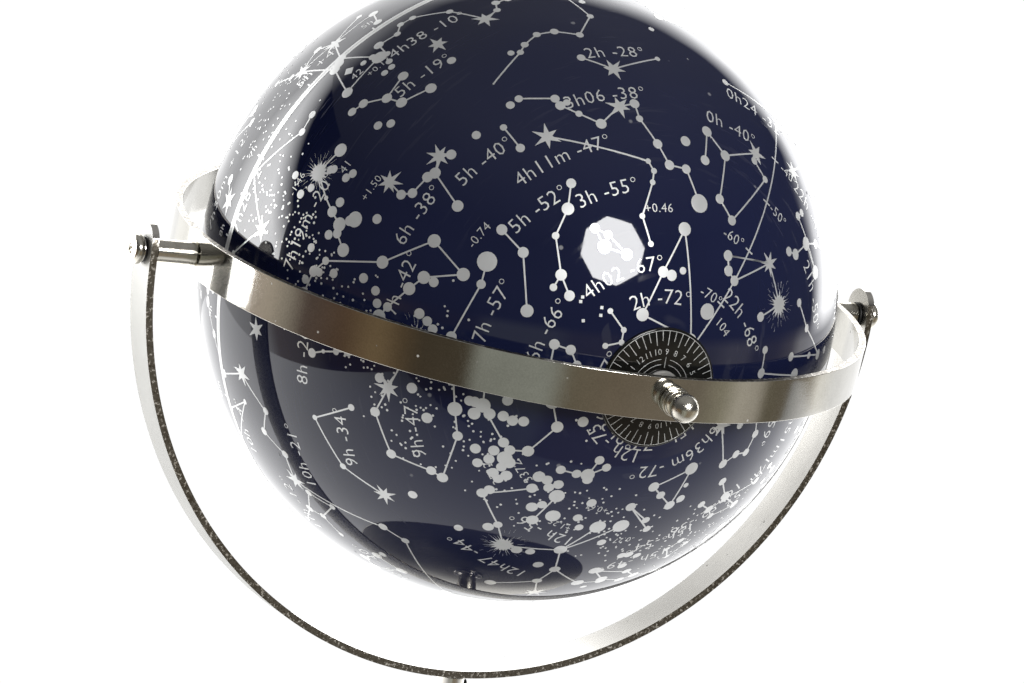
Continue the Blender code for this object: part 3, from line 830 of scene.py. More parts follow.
def buildPost():
    foot, bottom, top = turnedSize("post", uprightPlace)[1:]
    radius = standShape["postRadius"]
    bore = turnedSize("yoke", pivotPlace["left"])[0]
    stud = turnedSize("post_washer", uprightPlace)[0] - turnGap
    coverTop = turnedSize("base_cover", uprightPlace)[3] + turnGap
    footTop = coverTop + standShape["footHeight"]
    ease, fillet, chamfer = (standShape[key] for key in ("footEase", "postFillet", "studChamfer"))
    boreBottom = top - standShape["boreDepth"]
    outline = [(0, boreBottom), (bore, boreBottom), (bore, top - ease / 2), (bore + ease / 2, top),
               (radius - ease, top), (radius, top - ease)]
    outline += arc(fillet, 180, 262, 6, (radius + fillet, footTop + fillet))
    footLine = [(radius + fillet, footTop), (foot, footTop), (foot, coverTop), (stud, coverTop)]
    outline += eased(footLine, ease, 4)[1:-1]
    outline += [(stud, coverTop), (stud, bottom + chamfer), (stud - chamfer, bottom), (0, bottom)]
    low, high = extent("post_grub_screw", uprightPlace)
    grub = axisPlace(pivotAxis, upAxis, Vector((0, 0, (low.z + high.z) / 2)))
    grubRadius = (high.z - low.z) / 2
    hole = rod(grubRadius + turnGap, 0, radius * 1.5, turnedShape["smallSteps"])
    bmesh.ops.transform(hole, matrix=grub, verts=hole.verts)
    work = carve(lathe(outline, turnedShape["steps"] * 2), hole)
    standIn("standPost", work, uprightPlace, (nickel,), "post", sharp=38)

    grubLine = [(0, high.x), (grubRadius, high.x), (grubRadius, low.x), (0, low.x)]
    body = lathe(eased(grubLine, standShape["grubEase"]), turnedShape["smallSteps"])
    slot = bmesh.new()
    bmesh.ops.create_cube(slot, size=1.0)
    size = (grubRadius * 4, standShape["slotWidth"], standShape["slotDepth"])
    bmesh.ops.scale(slot, vec=size, verts=slot.verts)
    bmesh.ops.translate(slot, vec=(0, 0, high.x), verts=slot.verts)
    standIn("grubScrew", carve(body, slot), grub, (blackSteel,), "post_grub_screw")


def buildYokeScrew():
    place = axisPlace(upAxis, pivotAxis, ballCentre)
    radius, bottom, top = turnedSize("yoke_screw", place)[1:]
    shank = turnedSize("yoke", pivotPlace["left"])[0] - turnGap
    inner, outer = turnedSize("yoke", yokePlace)[0], extent("yoke", yokePlace)[1].x
    outline = [(0, top), (radius - 0.0002, top), (radius, top - 0.0002), (shank, turnGap - outer),
               (shank, bottom + 0.0004), (shank - 0.0004, bottom), (0, bottom)]
    work = carveCross(lathe(outline, turnedShape["steps"]), top)
    standIn("yokeScrew", work, place, (nickel,), "yoke_screw", sharp=40)


buildBase()
buildPost()
buildYokeScrew()
print("stand turned")


# ball: two shells, joined at the equator

ballShape = {
    "steps": 192,
    "arcPoints": 56,
    "wallPoints": 24,
    "wall": 0.0018,
    "seamEase": 0.00025,
    "bandEase": 0.0003,
    "flangeChamfer": 0.0005,
}


def buildShell(pole):
    node, place = "hemisphere_" + pole, polePlace[pole]
    hole, radius = turnedSize(node, place)[:2]
    inside = radius - ballShape["wall"]
    seam = turnGap / 2
    ease = ballShape["seamEase"]
    first = math.degrees(math.acos(hole / radius))
    last = math.degrees(math.asin((seam + ease) / radius))
    seat = extent("equator_band", polePlace["north"])[1].z + turnGap
    flat = extent("bush_retainer_" + pole, place)[1].z + turnGap
    bossRadius = math.sqrt(inside ** 2 - flat ** 2)
    bandSeat = math.sqrt(inside ** 2 - seat ** 2)
    outline = arc(radius, first, last, ballShape["arcPoints"])
    outline += [(radius - ease * 0.3, seam + ease * 0.3), (radius - ease, seam), (bandSeat, seam)]
    seatAngle = math.degrees(math.asin(seat / inside))
    outline += arc(inside, seatAngle, math.degrees(math.acos(bossRadius / inside)), ballShape["wallPoints"])
    outline.append((hole, flat))
    standIn("shell." + pole, lathe(outline, ballShape["steps"]), place, (navyGloss,), node)


def buildBush(pole):
    place, node = polePlace[pole], "pole_bush_" + pole
    bore, flange, bottom, top = turnedSize(node, place)
    neck = turnedSize("bush_retainer_" + pole, place)[0] - turnGap
    dialTop = turnedSize("hour_dial_" + pole, place)[3] + turnGap
    chamfer = ballShape["flangeChamfer"]
    outline = [(bore, top - 0.0002), (bore + 0.0004, top), (flange - chamfer, top), (flange, top - chamfer),
               (flange, dialTop), (neck, dialTop), (neck, bottom + 0.0004), (neck - 0.0004, bottom),
               (bore, bottom)]
    standIn("poleBush." + pole, lathe(outline, turnedShape["steps"] * 2), place, (satinHub,), node)
    plainTube("bushRetainer." + pole, "bush_retainer_" + pole, place, turnedSteel)


for pole in polePlace:
    buildShell(pole)
    buildBush(pole)
plainTube("equatorBand", "equator_band", polePlace["north"], whitePlastic, ballShape["bandEase"],
          ballShape["steps"])
print("ball shells turned")


# star chart: thin raised print that follows the ball

chart = {
    "sink": 0.00005,              # the print's underside lies this far inside the lacquer
    "lift": 0.00004,              # and its face this far above the ball
    "meridianZero": -56.4,        # where hour 0 of right ascension lies, in degrees from the right pivot
    "squeezeFrom": 34.7,          # the gores pull stars nearer than this to a pole, in degrees,
    "squeeze": 0.125,             # this much towards it
    "lineWidth": 0.00050,
    "lineStep": 0.0035,
    "nameHeight": 0.0046,         # capital height of the figures beside each constellation
    "smallHeight": 0.0030,
    "discSides": 18,
    "dotRadius": 0.00038,
    "capShare": 0.729,            # a numeral's height as a share of the font's size
    "spacing": 1.06,
    "strokeOffset": -0.013,       # a little lighter than the font's own stroke
}


def squeezed(declination):
    fromPole = 90 - abs(declination)
    fromPole -= max(0.0, chart["squeezeFrom"] - fromPole) * chart["squeeze"]
    return math.radians(math.copysign(90 - fromPole, declination))


def chartAngles(hours, declination):
    return math.radians(chart["meridianZero"] - hours * 15), squeezed(declination)


def direction(longitude, latitude):
    # a unit vector in the ball's own axes, Z to the north pole
    return Vector((math.cos(latitude) * math.cos(longitude), math.cos(latitude) * math.sin(longitude),
                   math.sin(latitude)))


def starDirection(hours, declination):
    return direction(*chartAngles(hours, declination))


def pressShape(verts, hours, declination):
    # lays a small flat shape, X to the chart's west and Y north, on the ball
    outward = starDirection(hours, declination)
    west = Vector((0, 0, 1)).cross(outward).normalized()
    north = outward.cross(west)
    for vert in verts:
        x, y = vert.co.xy
        vert.co = (outward * ballRadius + west * x + north * y).normalized() * (ballRadius - chart["sink"])


def pressText(verts, hours, declination):
    # lays lettering along its parallel, its top to the north
    longitude, latitude = chartAngles(hours, declination)
    for vert in verts:
        across = longitude + vert.co.x / (ballRadius * math.cos(latitude))
        vert.co = direction(across, latitude + vert.co.y / ballRadius) * (ballRadius - chart["sink"])


def addDisc(work, hours, declination, radius, sides=None):
    disc = bmesh.ops.create_circle(work, cap_ends=True, cap_tris=True, segments=sides or chart["discSides"],
                                   radius=radius)
    pressShape(disc["verts"], hours, declination)


def addBurst(work, hours, declination, radius, rays, core, random_):
    # a star with uneven points: every other vertex of a circle is drawn in
    made = bmesh.ops.create_circle(work, cap_ends=True, cap_tris=True, segments=rays * 2, radius=radius)
    burst = made["verts"]
    bmesh.ops.rotate(work, matrix=Matrix.Rotation(random_.uniform(0, 1), 3, "Z"), verts=burst)
    for index, vert in enumerate(burst):
        vert.co *= core if index % 2 else random_.uniform(0.72, 1.12)
    pressShape(burst, hours, declination)


def addLine(work, first, last, width=None, radius=None):
    # a strip between two directions along their great circle
    width, radius = width or chart["lineWidth"], radius or ballRadius - chart["sink"]
    angle = first.angle(last)
    if angle < 1e-4:
        return
    pieces = max(1, math.ceil(angle * radius / chart["lineStep"]))
    strip = bmesh.ops.create_grid(work, x_segments=pieces, y_segments=1, size=0.5)["verts"]
    across = first.cross(last).normalized()
    for vert in strip:
        along = first.slerp(last, vert.co.x + 0.5)
        vert.co = (along * radius + across * vert.co.y * width).normalized() * radius


def textMesh(words, height):
    # numerals as a flat mesh, centred on the origin
    curve = bpy.data.curves.new("numerals", "FONT")
    curve.body = words
    curve.size = height / chart["capShare"]
    curve.space_character = chart["spacing"]
    curve.align_x = "CENTER"
    curve.align_y = "CENTER"
    curve.resolution_u = 2
    curve.offset = chart["strokeOffset"] * height
    holder = newObject("numerals", curve)
    mesh = evaluated(holder)
    bpy.data.objects.remove(holder)
    bpy.data.curves.remove(curve)
    return mesh


def addText(work, words, hours, declination, height, press=pressText):
    mesh = textMesh(words, height)
    letters = bmesh.new()
    letters.from_mesh(mesh)
    press(letters.verts, hours, declination)
    letters.to_mesh(mesh)
    letters.free()
    work.from_mesh(mesh)
    bpy.data.meshes.remove(mesh)


def finishPrint(name, work, place, body, thickness=chart["sink"] + chart["lift"]):
    # thickens the sheet into closed slips, and turns their faces' shading to the ball's own curve
    bmesh.ops.recalc_face_normals(work, faces=work.faces)
    for face in work.faces:
        if face.normal.dot(face.calc_center_median()) < 0:
            face.normal_flip()
    bmesh.ops.triangulate(work, faces=[face for face in work.faces if len(face.verts) > 4])
    flat = newObject(name + "Flat", meshOf(work, name))
    solid = flat.modifiers.new("thickness", "SOLIDIFY")
    solid.thickness = thickness
    solid.offset = 1.0
    mesh = evaluated(flat)
    bpy.data.objects.remove(flat)
    mesh.shade_smooth()
    mesh.set_sharp_from_angle(angle=math.radians(40))
    normals = [Vector((0, 0, 0))] * len(mesh.loops)
    for face in mesh.polygons:
        if face.normal.dot(face.center.normalized()) > -0.9:
            for loop in face.loop_indices:
                normals[loop] = mesh.vertices[mesh.loops[loop].vertex_index].co.normalized()
    mesh.normals_split_custom_set(normals)
    mesh.transform(place)
    mesh.materials.append(printGrey)
    piece = newObject(name, mesh)
    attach(piece, body)


def finishChart(name, work):
    finishPrint(name, work, polePlace["north"], "ball")


# each constellation: the length of its label, the label's place (hours, degrees), its stars and its chains.
# A star is hours/degrees/magnitude, with b for a star-shaped burst and s for a rayed sun; chains name
# the stars in order by letter.
figures = {
    "andromeda": (9, 1.4, 39,
        ".14/29.1/2.1 .66/30.9/3.3 1.16/35.6/2.1 2.07/42.3/2.1 .95/38.5/3.9 .83/41.1/4.5", "abcd cef"),
    "antlia": (6, 9.98, -33.5, "9.49/-36/4.5 9.74/-27.8/5 10.45/-31.1/4.5 10.95/-37.1/4b", "abcd"),
    "apus": (4, 15.6, -77, "14.8/-79/3.8 16.72/-77.5/4.2 16.56/-78.9/3.9 16.34/-78.7/4.7", "abcd"),
    "aquarius": (8, 22.4, -11,
        "21.53/-5.6/2.9 22.1/-.3/3 22.36/-1.4/3.8 22.48/0/3.7 22.59/-.1/4 22.88/-7.6/3.7 "
        "22.83/-13.6/4 22.91/-15.8/3.3 23.24/-6/4.2 23.27/-9.1/4.2 23.38/-20.1/4 "
        "20.79/-9.5/3.8", "labcdeijk cfgh"),
    "aquila": (6, 19.5, -1.5,
        "19.85/8.9/.8 19.77/10.6/2.7 19.92/6.4/3.7 19.42/3.1/3.4 19.1/-4.9/3.4 20.19/-.8/3.2 "
        "19.87/1/3.9b 19.09/13.9/3", "bacf agd dha de"),
    "ara": (3, 17.91, -52.3,
        "17.42/-55.5/2.8 17.42/-56.4/3.3 17.52/-60.7/3.6 16.98/-56/3.1 16.99/-53.2/4.1 "
        "16.83/-59/3.8 17.53/-49.9/2.9 18.11/-50.1/3.7", "cbadf degah"),
    "aries": (5, 2.7, 21, "2.12/23.5/2 1.91/20.8/2.6 1.89/19.3/3.9 2.83/27.3/3.6", "dabc"),
    "auriga": (6, 5.5, 39,
        "5.28/46/.1 5.99/44.9/1.9 5.99/37.2/2.6 5.44/28.6/1.7 4.95/33.2/2.7 5.11/41.2/3.2", "abcdefa"),
    "bootes": (6, 14.7, 32,
        "14.26/19.2/0 14.75/27.1/2.4 15.26/33.3/3.5 15.03/40.4/3.5 14.53/38.3/3 "
        "14.53/30.4/3.6 13.91/18.4/2.7 14.69/13.7/3.8", "abcdefa gah"),
    "caelum": (6, 5.23, -40.1, "4.68/-41.9/3.9 4.7/-37.1/4.6 5.07/-35.5/3.9", "ab"),
    "camelopardalis": (14, 4.6, 70,
        "4.9/66.3/4.3 5.06/60.4/4 4.95/53.8/4.4 3.83/71.3/4.6 3.48/59.9/4.2", "cba bed"),
    "cancer": (6, 8.9, 22,
        "8.72/18.2/3.9 8.72/21.5/4.7 8.78/28.8/4 8.97/11.9/4.2 8.28/9.2/3.5", "cbad ae"),
    "canesVenatici": (13, 12.8, 44, "12.93/38.3/2.9b 12.56/41.4/4.2", "ab"),
    "canisMajor": (11, 7.31, -19.5,
        "6.75/-16.7/1.9s 6.38/-18/2 6.95/-21.2/5.4 7.05/-23.8/3.1 7.14/-26.4/2 6.98/-28.7/1.4 "
        "7.25/-26.8/3.6 7.4/-29.3/2.3 6.9/-24.2/3.9 7.03/-27.9/3.4 6.61/-19.3/4 6.64/-18.7/4",
        "ba acdegh ef"),
    "canisMinor": (10, 7.5, 11.5, "7.66/5.2/.4b 7.45/8.3/2.9", "ab"),
    "capricornus": (11, 21, -21,
        "20.3/-12.5/3.6 20.35/-14.8/3.1 20.77/-25.3/4.1 20.86/-26.9/4.1 21.44/-22.4/3.7 "
        "21.78/-16.1/2.9 21.67/-16.7/3.7 21.1/-17.2/4.1", "abcdefgha"),
    "carina": (6, 7.17, -57.4,
        "6.4/-52.7/.1 6.81/-54/3.9 7.95/-53/3.3 8.38/-59.5/1.9b 9.28/-59.3/1.7 "
        "10.28/-61.4/3.2 10.53/-61.9/3.2 10.72/-64.4/2.8 10.23/-69.8/2.8 9.22/-69.7/1.7 "
        "9.79/-65.1/3.3 9.18/-57.3/3.4", "abcdefghij"),
    "cassiopeia": (10, 1.3, 66,
        "1.91/63.7/3.4 1.43/60.2/2.7 .95/60.7/2.5b .68/56.5/2.2 .15/59.2/2.3", "abcde"),
    "centaurus": (9, 12.79, -43.6,
        "14.66/-60.8/.8 14.06/-60.4/1 13.66/-53.5/2.2 13.93/-47.3/3 12.69/-49.2/1.9s "
        "12.2/-52.4/3.8 12.14/-50.7/3 11.35/-54.6/3 11.8/-61.6/3 13.88/-42/3.4 "
        "14.59/-42.2/2.3 14.11/-36.4/2.1b 13.34/-36.7/2.8 14.99/-42.1/3.1",
        "acb cefg fhi cdjl jm dkn"),
    "cepheus": (7, 22.6, 70,
        "21.31/62.6/2.4 21.48/70.6/3.2 23.66/77.6/3.2 22.83/66.2/3.5 22.49/58.4/4b "
        "22.18/58.2/3.4", "abcdefa"),
    "cetus": (5, 1.5, -4,
        "3.04/4.1/2.5 2.72/3.2/3.5 2.32/-3/3b 1.86/-10.3/3.7 1.4/-8.2/3.6 1.14/-10.2/3.4 "
        ".73/-18/2 1.73/-15.9/3.5 .32/-8.8/3.6 2.99/8.9/4.7 2.75/10.1/4.3", "kjabcdefghd fi"),
    "chamaeleon": (10, 9.6, -77,
        "8.31/-76.9/4.1 10.59/-78.6/4.1 12.31/-79.3/4.3 10.76/-80.5/4.5", "abcd"),
    "circinus": (8, 16.86, -55.5, "14.71/-65/3.2 15.3/-61.4/3.9 15.4/-59/3.9", "ab ac"),
    "comaBerenices": (13, 12.8, 23, "13.17/17.5/4.3 13.2/27.9/4.3 12.45/28.3/4.4", "abc"),
    "coronaAustralis": (9, 18.8, -42,
        "19.11/-37.1/4.1 19.16/-37.9/4.1 19.17/-39.3/4.1 19.14/-40.5/4.6 18.56/-42.3/4.6", "abcde"),
    "coronaBorealis": (9, 15.9, 33,
        "15.55/31.4/4.1 15.46/29.1/3.7 15.58/26.7/2.2b 15.71/26.3/3.8 15.83/26.1/4.6 "
        "15.96/26.9/4.2 16.02/29.9/5", "abcdefg"),
    "corvus": (6, 12.4, -20,
        "12.14/-24.7/4 12.17/-22.6/3 12.26/-17.5/2.6 12.5/-16.5/2.9 12.57/-23.4/2.6", "abcdeb"),
    "crater": (6, 11.3, -12,
        "11/-18.3/4.1 11.32/-14.8/3.6 11.41/-17.7/4.1 11.19/-22.8/4.5 11.75/-18.4/4.7 "
        "11.61/-9.8/4.7", "abcda bf ce"),
    "crux": (4, 12.95, -56.3,
        "12.44/-63.3/1.4 12.56/-57.3/2.6 12.83/-59.9/1.6 12.26/-59.2/2.8 12.37/-60.6/3.6", "ab"),
    "cygnus": (6, 20.5, 37,
        "20.69/45.3/1.3 20.37/40.3/2.2 19.51/28/3.1 19.75/45.1/2.9 20.77/34/2.5 "
        "19.94/35.1/3.9 21.22/30.2/3.2", "abfc dbeg"),
    "delphinus": (9, 20.7, 18,
        "20.66/15.9/3.8 20.63/14.6/3.6 20.72/15.1/4.4 20.78/16.1/3.9 20.55/11.3/4", "abcda be"),
    "dorado": (6, 3.69, -55,
        "4.27/-51.5/3.6 4.57/-55.1/2.7 5.09/-57.5/4.5 5.56/-62.5/3.1 5.78/-65.6/3.4 "
        "5.92/-63/4.5", "abcde df"),
    "draco": (5, 16.8, 70,
        "17.94/51.5/2.2 17.51/52.3/2.8 17.54/55.2/4.9 17.89/56.9/3.8 19.21/67.7/3.1 "
        "18.35/72.7/3.6 17.15/65.7/3.2 16.4/61.5/2.7 16.03/58.6/4 15.42/59/3.3 14.07/64.4/3.7 "
        "12.56/69.8/3.9 11.52/69.3/3.8", "abcda defghijklm"),
    "equuleus": (8, 21.2, 7.5, "21.26/5.2/3.9 21.24/10/4.5 21.17/10.1/4.7", "abc"),
    "eridanus": (8, 4.63, -10,
        "5.15/-8.8/4.3 5.13/-5.1/3.2 4.88/-5.5/4.4 4.76/-3.3/4.4 4.6/-3.4/4.4 4.23/-7.2/4.4 "
        "3.97/-13.5/3b 3.77/-12.1/4.4 3.71/-9.7/4 3.55/-9.5/4 2.94/-8.9/3.9 2.75/-18.6/4.5 "
        "3.04/-23.6/4.2 3.33/-21.8/4 3.56/-21.6/4.3 3.78/-23.2/4.3 3.89/-24.6/4.6 "
        "4.45/-28.7/9", "abcdefghijklmnopqr"),
    "eridanusSouth": (8, 3.1, -37.8,
        "4.43/-34/4 4.28/-33.6/4.2 3.83/-36.2/3.8 3.81/-37.8/3.5 3.61/-40.3/4.6 "
        "3.34/-43.1/3.2 2.95/-40.3/2.6b 2.69/-39.9/3.4 2.68/-42.9/4.4 2.46/-47.7/3.5 "
        "2.29/-51.5/3.4 1.94/-51.8/3.6 1.63/-57.2/.3", "bcdefghijklm"),
    "fornax": (6, 2.68, -28.4, "3.19/-29.1/4 2.82/-32.4/3b 2.08/-29.3/5", "abc"),
    "gemini": (6, 7.1, 26.5,
        "7.58/31.9/1.6 7.76/28/1.1 7.34/22/3.5 7.07/20.6/4b 6.63/16.4/1.9 6.73/25.1/3 "
        "6.38/22.5/2.9 6.25/22.5/3.3 6.75/12.9/3.4 7.74/24.4/3.6 7.19/30.2/4.4", "akfgh bjcde ci ab"),
    "grus": (4, 22.89, -40.3,
        "22.14/-47/1.9 22.71/-46.9/2 21.9/-37.4/3 22.49/-43.5/3.6 22.82/-51.5/3 "
        "23.01/-52.9/3.6 23.11/-43.5/4.3 23.17/-45.2/3.9", "febdc bahg"),
    "hercules": (8, 16.9, 26,
        "16.5/21.5/2.8 16.69/31.6/2.8 16.71/38.9/3.5 17.25/36.8/3.2 17/30.9/3.9 "
        "17.25/24.8/3.1 17.24/14.4/3b 17.77/27.7/3.4 17.94/37.3/3.9 17.66/46/3.8 "
        "16.37/19.2/3.7", "kabcdeb efg fh dij"),
    "horologium": (10, 4.18, -46.6,
        "4.23/-42.3/2.6b 2.71/-50.9/5.1 2.63/-52.7/4.9 2.7/-54.7/5 3.08/-59.8/5 2.98/-64.1/5",
        "abcdef"),
    "hydra": (5, 10.4, -21,
        "8.63/5.7/4.1 8.65/3.3/4.4 8.72/3.4/4.3 8.78/6.4/3.4 8.92/5.9/3.1 9.24/2.3/3.9 "
        "9.66/-1.1/3.9 9.49/-8.7/2b 9.86/-14.8/4.1 10.18/-12.4/3.8 10.43/-16.8/3.8 "
        "10.83/-16.2/3.1b 11.55/-31.9/3.5 11.88/-33.9/4 13.32/-23.2/3 14.11/-26.7/3.3",
        "abcdefghijklmnop"),
    "hydrus": (6, 2.78, -72.2,
        "1.98/-61.7/2.2 2.66/-68.4/3.1 3.79/-74.2/2.5 .43/-77.3/2.8 2.34/-68.9/3.2 "
        "1.93/-68/4.5", "abcda"),
    "indus": (5, 21.81, -49.6,
        "20.63/-47.3/3.1 21.33/-53.4/4.1 20.91/-58.5/3.7 21.97/-55.1/4 20.73/-51.9/4.5", "dbaec"),
    "lacerta": (7, 22.6, 44,
        "22.52/50.3/3.8 22.39/52.2/4.4 22.41/49.5/4.6 22.51/47.7/4.4 22.35/46.5/4.6 "
        "22.27/37.7/4.1", "abcadef"),
    "leo": (3, 10.8, 16,
        "10.14/12/1.4 10.12/16.8/3.5 10.33/19.8/2.1 10.28/23.4/3.4 9.88/26/3.9 9.76/23.8/3 "
        "11.24/20.5/2.6 11.82/14.6/2.1b 11.24/15.4/3.3", "fedcba aihgc gi"),
    "leoMinor": (8, 10.5, 32, "10.89/34.2/3.8 10.46/36.7/4.2 10.12/35.2/4.5", "abc"),
    "lepus": (5, 5.04, -18.8,
        "5.94/-14.2/3.7 5.78/-14.8/3.4 5.55/-17.8/3.1 5.22/-16.2/3.1 5.47/-20.8/2.9 "
        "5.09/-22.4/2.9", "abcd cef"),
    "libra": (5, 15.1, -13,
        "14.85/-16/2.8 15.28/-9.4/2.6b 15.59/-14.8/3.9 15.07/-25.3/3.3 15.62/-28.1/3.6", "dabca ce"),
    "lupus": (5, 15.4, -49,
        "14.7/-47.4/2.3 14.98/-43.1/2.7 15.36/-40.6/3.2 15.59/-41.2/2.8 15.38/-44.7/3.4 "
        "15.2/-52.1/3.4 16/-38.4/3.4 16.11/-36.8/4.2", "abcdgh dea f"),
    "lynx": (4, 7.9, 46,
        "9.35/34.4/3.1 9.31/36.8/3.8 8.38/43.2/4.3 7.45/49.2/4.6 6.95/58.4/4.4 6.33/59/4.5", "abcdef"),
    "lyra": (4, 18.6, 42,
        "18.62/38.8/0 18.75/37.6/4.3 18.91/36.9/4.3 18.98/32.7/3.2 18.83/33.4/3.5b", "abcdeb"),
    "mensa": (0, 0, 0, "5.05/-71.4/5.1 5/-75/5 5.5/-76.3/5 6.25/-74.8/5", "abcd"),
    "microscopium": (12, 21.1, -36,
        "20.83/-33.8/4.9 21.02/-32.3/4.7 21.3/-32.2/4.7 21.35/-40.8/4.8", "abcd"),
    "monoceros": (9, 7.46, -1.5,
        "6.25/-6.3/4 6.48/-7/4 7.2/-.5/4.1 7.69/-9.6/2.9b 8.14/-3/4.5", "abcde"),
    "musca": (5, 12.31, -74.9,
        "12.62/-69.1/2 12.75/-68.4/3.3 12.54/-72.1/3.6 13.04/-71.6/3.8 12.28/-68.2/3.6 "
        "11.79/-67/3.6", "fea ac ad"),
    "norma": (5, 15.85, -54.2, "16.33/-50.2/4 16.05/-49.2/4.6 16.11/-45.2/4.7 16.45/-47.6/4.5", "abcd"),
    "octans": (0, 0, 0, "21.69/-77.4/3.7 22.77/-81.4/4.1 14.45/-83.7/4.3", "abca"),
    "ophiuchus": (9, 17.1, -4,
        "17.58/12.6/2.1 17.72/4.6/2.8 17.8/2.7/3.8 17.17/-15.7/2.4 16.62/-10.6/2.6 "
        "16.3/-4.7/3.2 16.24/-3.7/2.7 16.96/9.4/3.2b 17.37/-25/3.3 17.98/-9.8/3.3", "ahgfedjcba di"),
    "orion": (5, 5.75, 4,
        "5.92/7.4/.5b 5.42/6.3/1.6b 5.53/-.3/2.6 5.6/-1.2/2.2 5.68/-1.9/2.6 5.8/-9.7/2.6 "
        "5.24/-8.2/1.2 5.29/-6.8/4.4 5.59/9.9/3.4 4.83/7/3.2 4.9/2.4/3.7 4.95/10.2/4.6 "
        "6.04/9.6/4.1 6.2/14.2/4.4", "aefghcba cde lbjk amn aib"),
    "pavo": (4, 19.6, -59,
        "20.43/-56.7/1.9 20.75/-66.2/3.4 20.15/-66.2/3.6 20.01/-72.9/4 18.73/-71.3/2.6b "
        "19.02/-67.3/4 18.95/-62.2/3.8 18.43/-61.5/3.9 18.23/-63.6/3.7 17.79/-64.6/3.3 "
        "21.44/-65.4/4.2", "abcdejihgcbk"),
    "pegasus": (7, 22.7, 20,
        "23.08/15.2/2.5 23.06/28.1/2.4b .22/15.2/2.8 .14/29.1/2.1 22.69/10.8/3.4 "
        "22.17/6.2/3.5 21.74/9.9/2.4 22.72/30.2/2.9 22.12/25.3/3.8", "abdcaefg bhi"),
    "perseus": (7, 3.5, 45,
        "3.41/49.9/1.8 3.08/53.5/2.9 3.72/47.8/3 3.96/40/2.9 3.9/31.9/2.9 3.14/41/2.1b "
        "3.09/38.8/3.4 2.84/55.9/3.8 3.16/44.9/3.8", "hbacde aifg"),
    "phoenix": (7, 0.96, -40,
        ".44/-42.3/2.6b 1.1/-46.7/3 1.47/-43.3/3 1.53/-49.2/3.4 1.14/-55.3/3.5 .73/-57.6/3.5 "
        ".16/-46/4.4 .46/-44.1/4.2", "dcbahgfeb"),
    "pictor": (6, 5.05, -52.3, "5.79/-51.1/3.3 5.82/-56.2/3.3 6.78/-62/2.6", "abc"),
    "pisces": (6, 0.3, 11,
        "2.03/2.8/3.8 1.76/9.2/4.3 1.52/15.3/3.6 1.69/5.5/4.4 1.05/7.9/4.3 .81/7.6/4.4 "
        "23.99/6.9/4 23.67/5.6/4.1 23.29/3.3/3.7 23.45/1.3/4.9 23.7/1.8/4.5 23.47/6.4/4.3 "
        "1.23/24.6/4.7 1.19/30.1/4.5", "nmcbadefghlijkh"),
    "piscisAustrinus": (9, 22.4, -36,
        "22.96/-29.6/1.2 22.68/-27/4.2 22.14/-33/4.5 21.75/-33/4.3 22.53/-32.3/4.3 "
        "22.88/-32.9/4.5", "abcdcefa"),
    "puppis": (6, 7.44, -41.7,
        "8.13/-24.3/2.8 7.82/-25.1/3.2 7.63/-26.8/4.2 7.29/-37.1/2.6 6.63/-43.3/2.4 "
        "6.83/-50.6/2.5 7.2/-44.9/2.6 7.46/-43.4/2.6 7.85/-40.9/3.8 8.03/-39.9/2.2", "abcdefghija"),
    "pyxis": (5, 8.88, -26, "8.67/-35.3/3.6 8.72/-33/4.6 8.77/-30.4/5.6 8.84/-28/3.7", "abcd"),
    "reticulum": (9, 4.03, -67.2, "4.24/-62.6/2.1 3.74/-64.9/2.9 4.03/-61.2/4 4.26/-59.5/3.6", "abcda"),
    "sagitta": (7, 19.9, 21, "19.67/18/4.4 19.68/17.5/4.4 19.79/18.5/3.8 19.98/19.5/3.5", "acd bc"),
    "sagittarius": (11, 19.2, -24,
        "18.4/-34.4/1.8 18.35/-29.8/2.7 18.1/-30.4/3 18.47/-25.4/2.8 18.76/-27/3.2 "
        "18.92/-26.3/2 19.04/-29.9/2.6 19.12/-27.7/3.3 18.23/-21.1/3.9 18.29/-36.8/3.1 "
        "19.16/-21/2.9b", "abdefhgeb bcaj ag di fk"),
    "scorpius": (8, 16.9, -31,
        "16.09/-19.8/2.6 16.01/-22.6/2.3 15.98/-26.1/2.9 16.35/-25.6/2.9 16.49/-26.4/1b "
        "16.6/-28.2/2.8 16.84/-34.3/2.3 16.86/-38/3 16.91/-42.4/3.6 17.2/-43.2/3.3 "
        "17.62/-43/1.9 17.79/-40.1/3 17.71/-39/2.4 17.56/-37.1/1.6 17.51/-37.3/2.7",
        "abc bdefghijklmno"),
    "sculptor": (8, 0.4, -32, ".98/-29.4/4.3 23.81/-28.1/4.6 23.31/-32.5/4.4 23.55/-37.8/2.9b", "abcd"),
    "scutum": (6, 18.8, -12, "18.59/-8.2/3.9 18.79/-4.7/4.2b 18.7/-9.1/4.7 18.49/-14.6/4.7", "abcad"),
    "serpens": (7, 15.7, 1,
        "15.74/6.4/2.6 15.58/10.5/3.8 15.77/15.4/3.7 15.94/15.7/3.8 15.81/18.1/4.1 "
        "15.85/4.5/3.7 15.83/-3.4/3.5 17.63/-15.4/3.5 18.36/-2.9/3.3 18.94/4.2/4.6", "abcdec afg hij"),
    "sextans": (7, 10.3, -4.5, "10.13/-.4/4.5 10.5/-.6/5 9.87/-8.1/5", "abca"),
    "taurus": (6, 4.9, 22,
        "4.6/16.5/.9 4.48/15.9/3.4 4.33/15.6/3.7 4.38/17.5/3.8 4.48/19.2/3.5 5.44/28.6/1.7 "
        "5.63/21.1/3 4.01/12.5/3.4b 3.41/9/3.6 3.79/24.1/2.9", "gabchi cdef"),
    "telescopium": (11, 18.85, -51.2, "18.45/-46/3.5 18.48/-49.1/4.1 18.19/-46/4.5", "cab"),
    "triangulum": (10, 1.8, 26, "1.88/29.6/3.4 2.16/35/3 2.29/33.8/4", "abca"),
    "triangulumAustrale": (18, 16.6, -72,
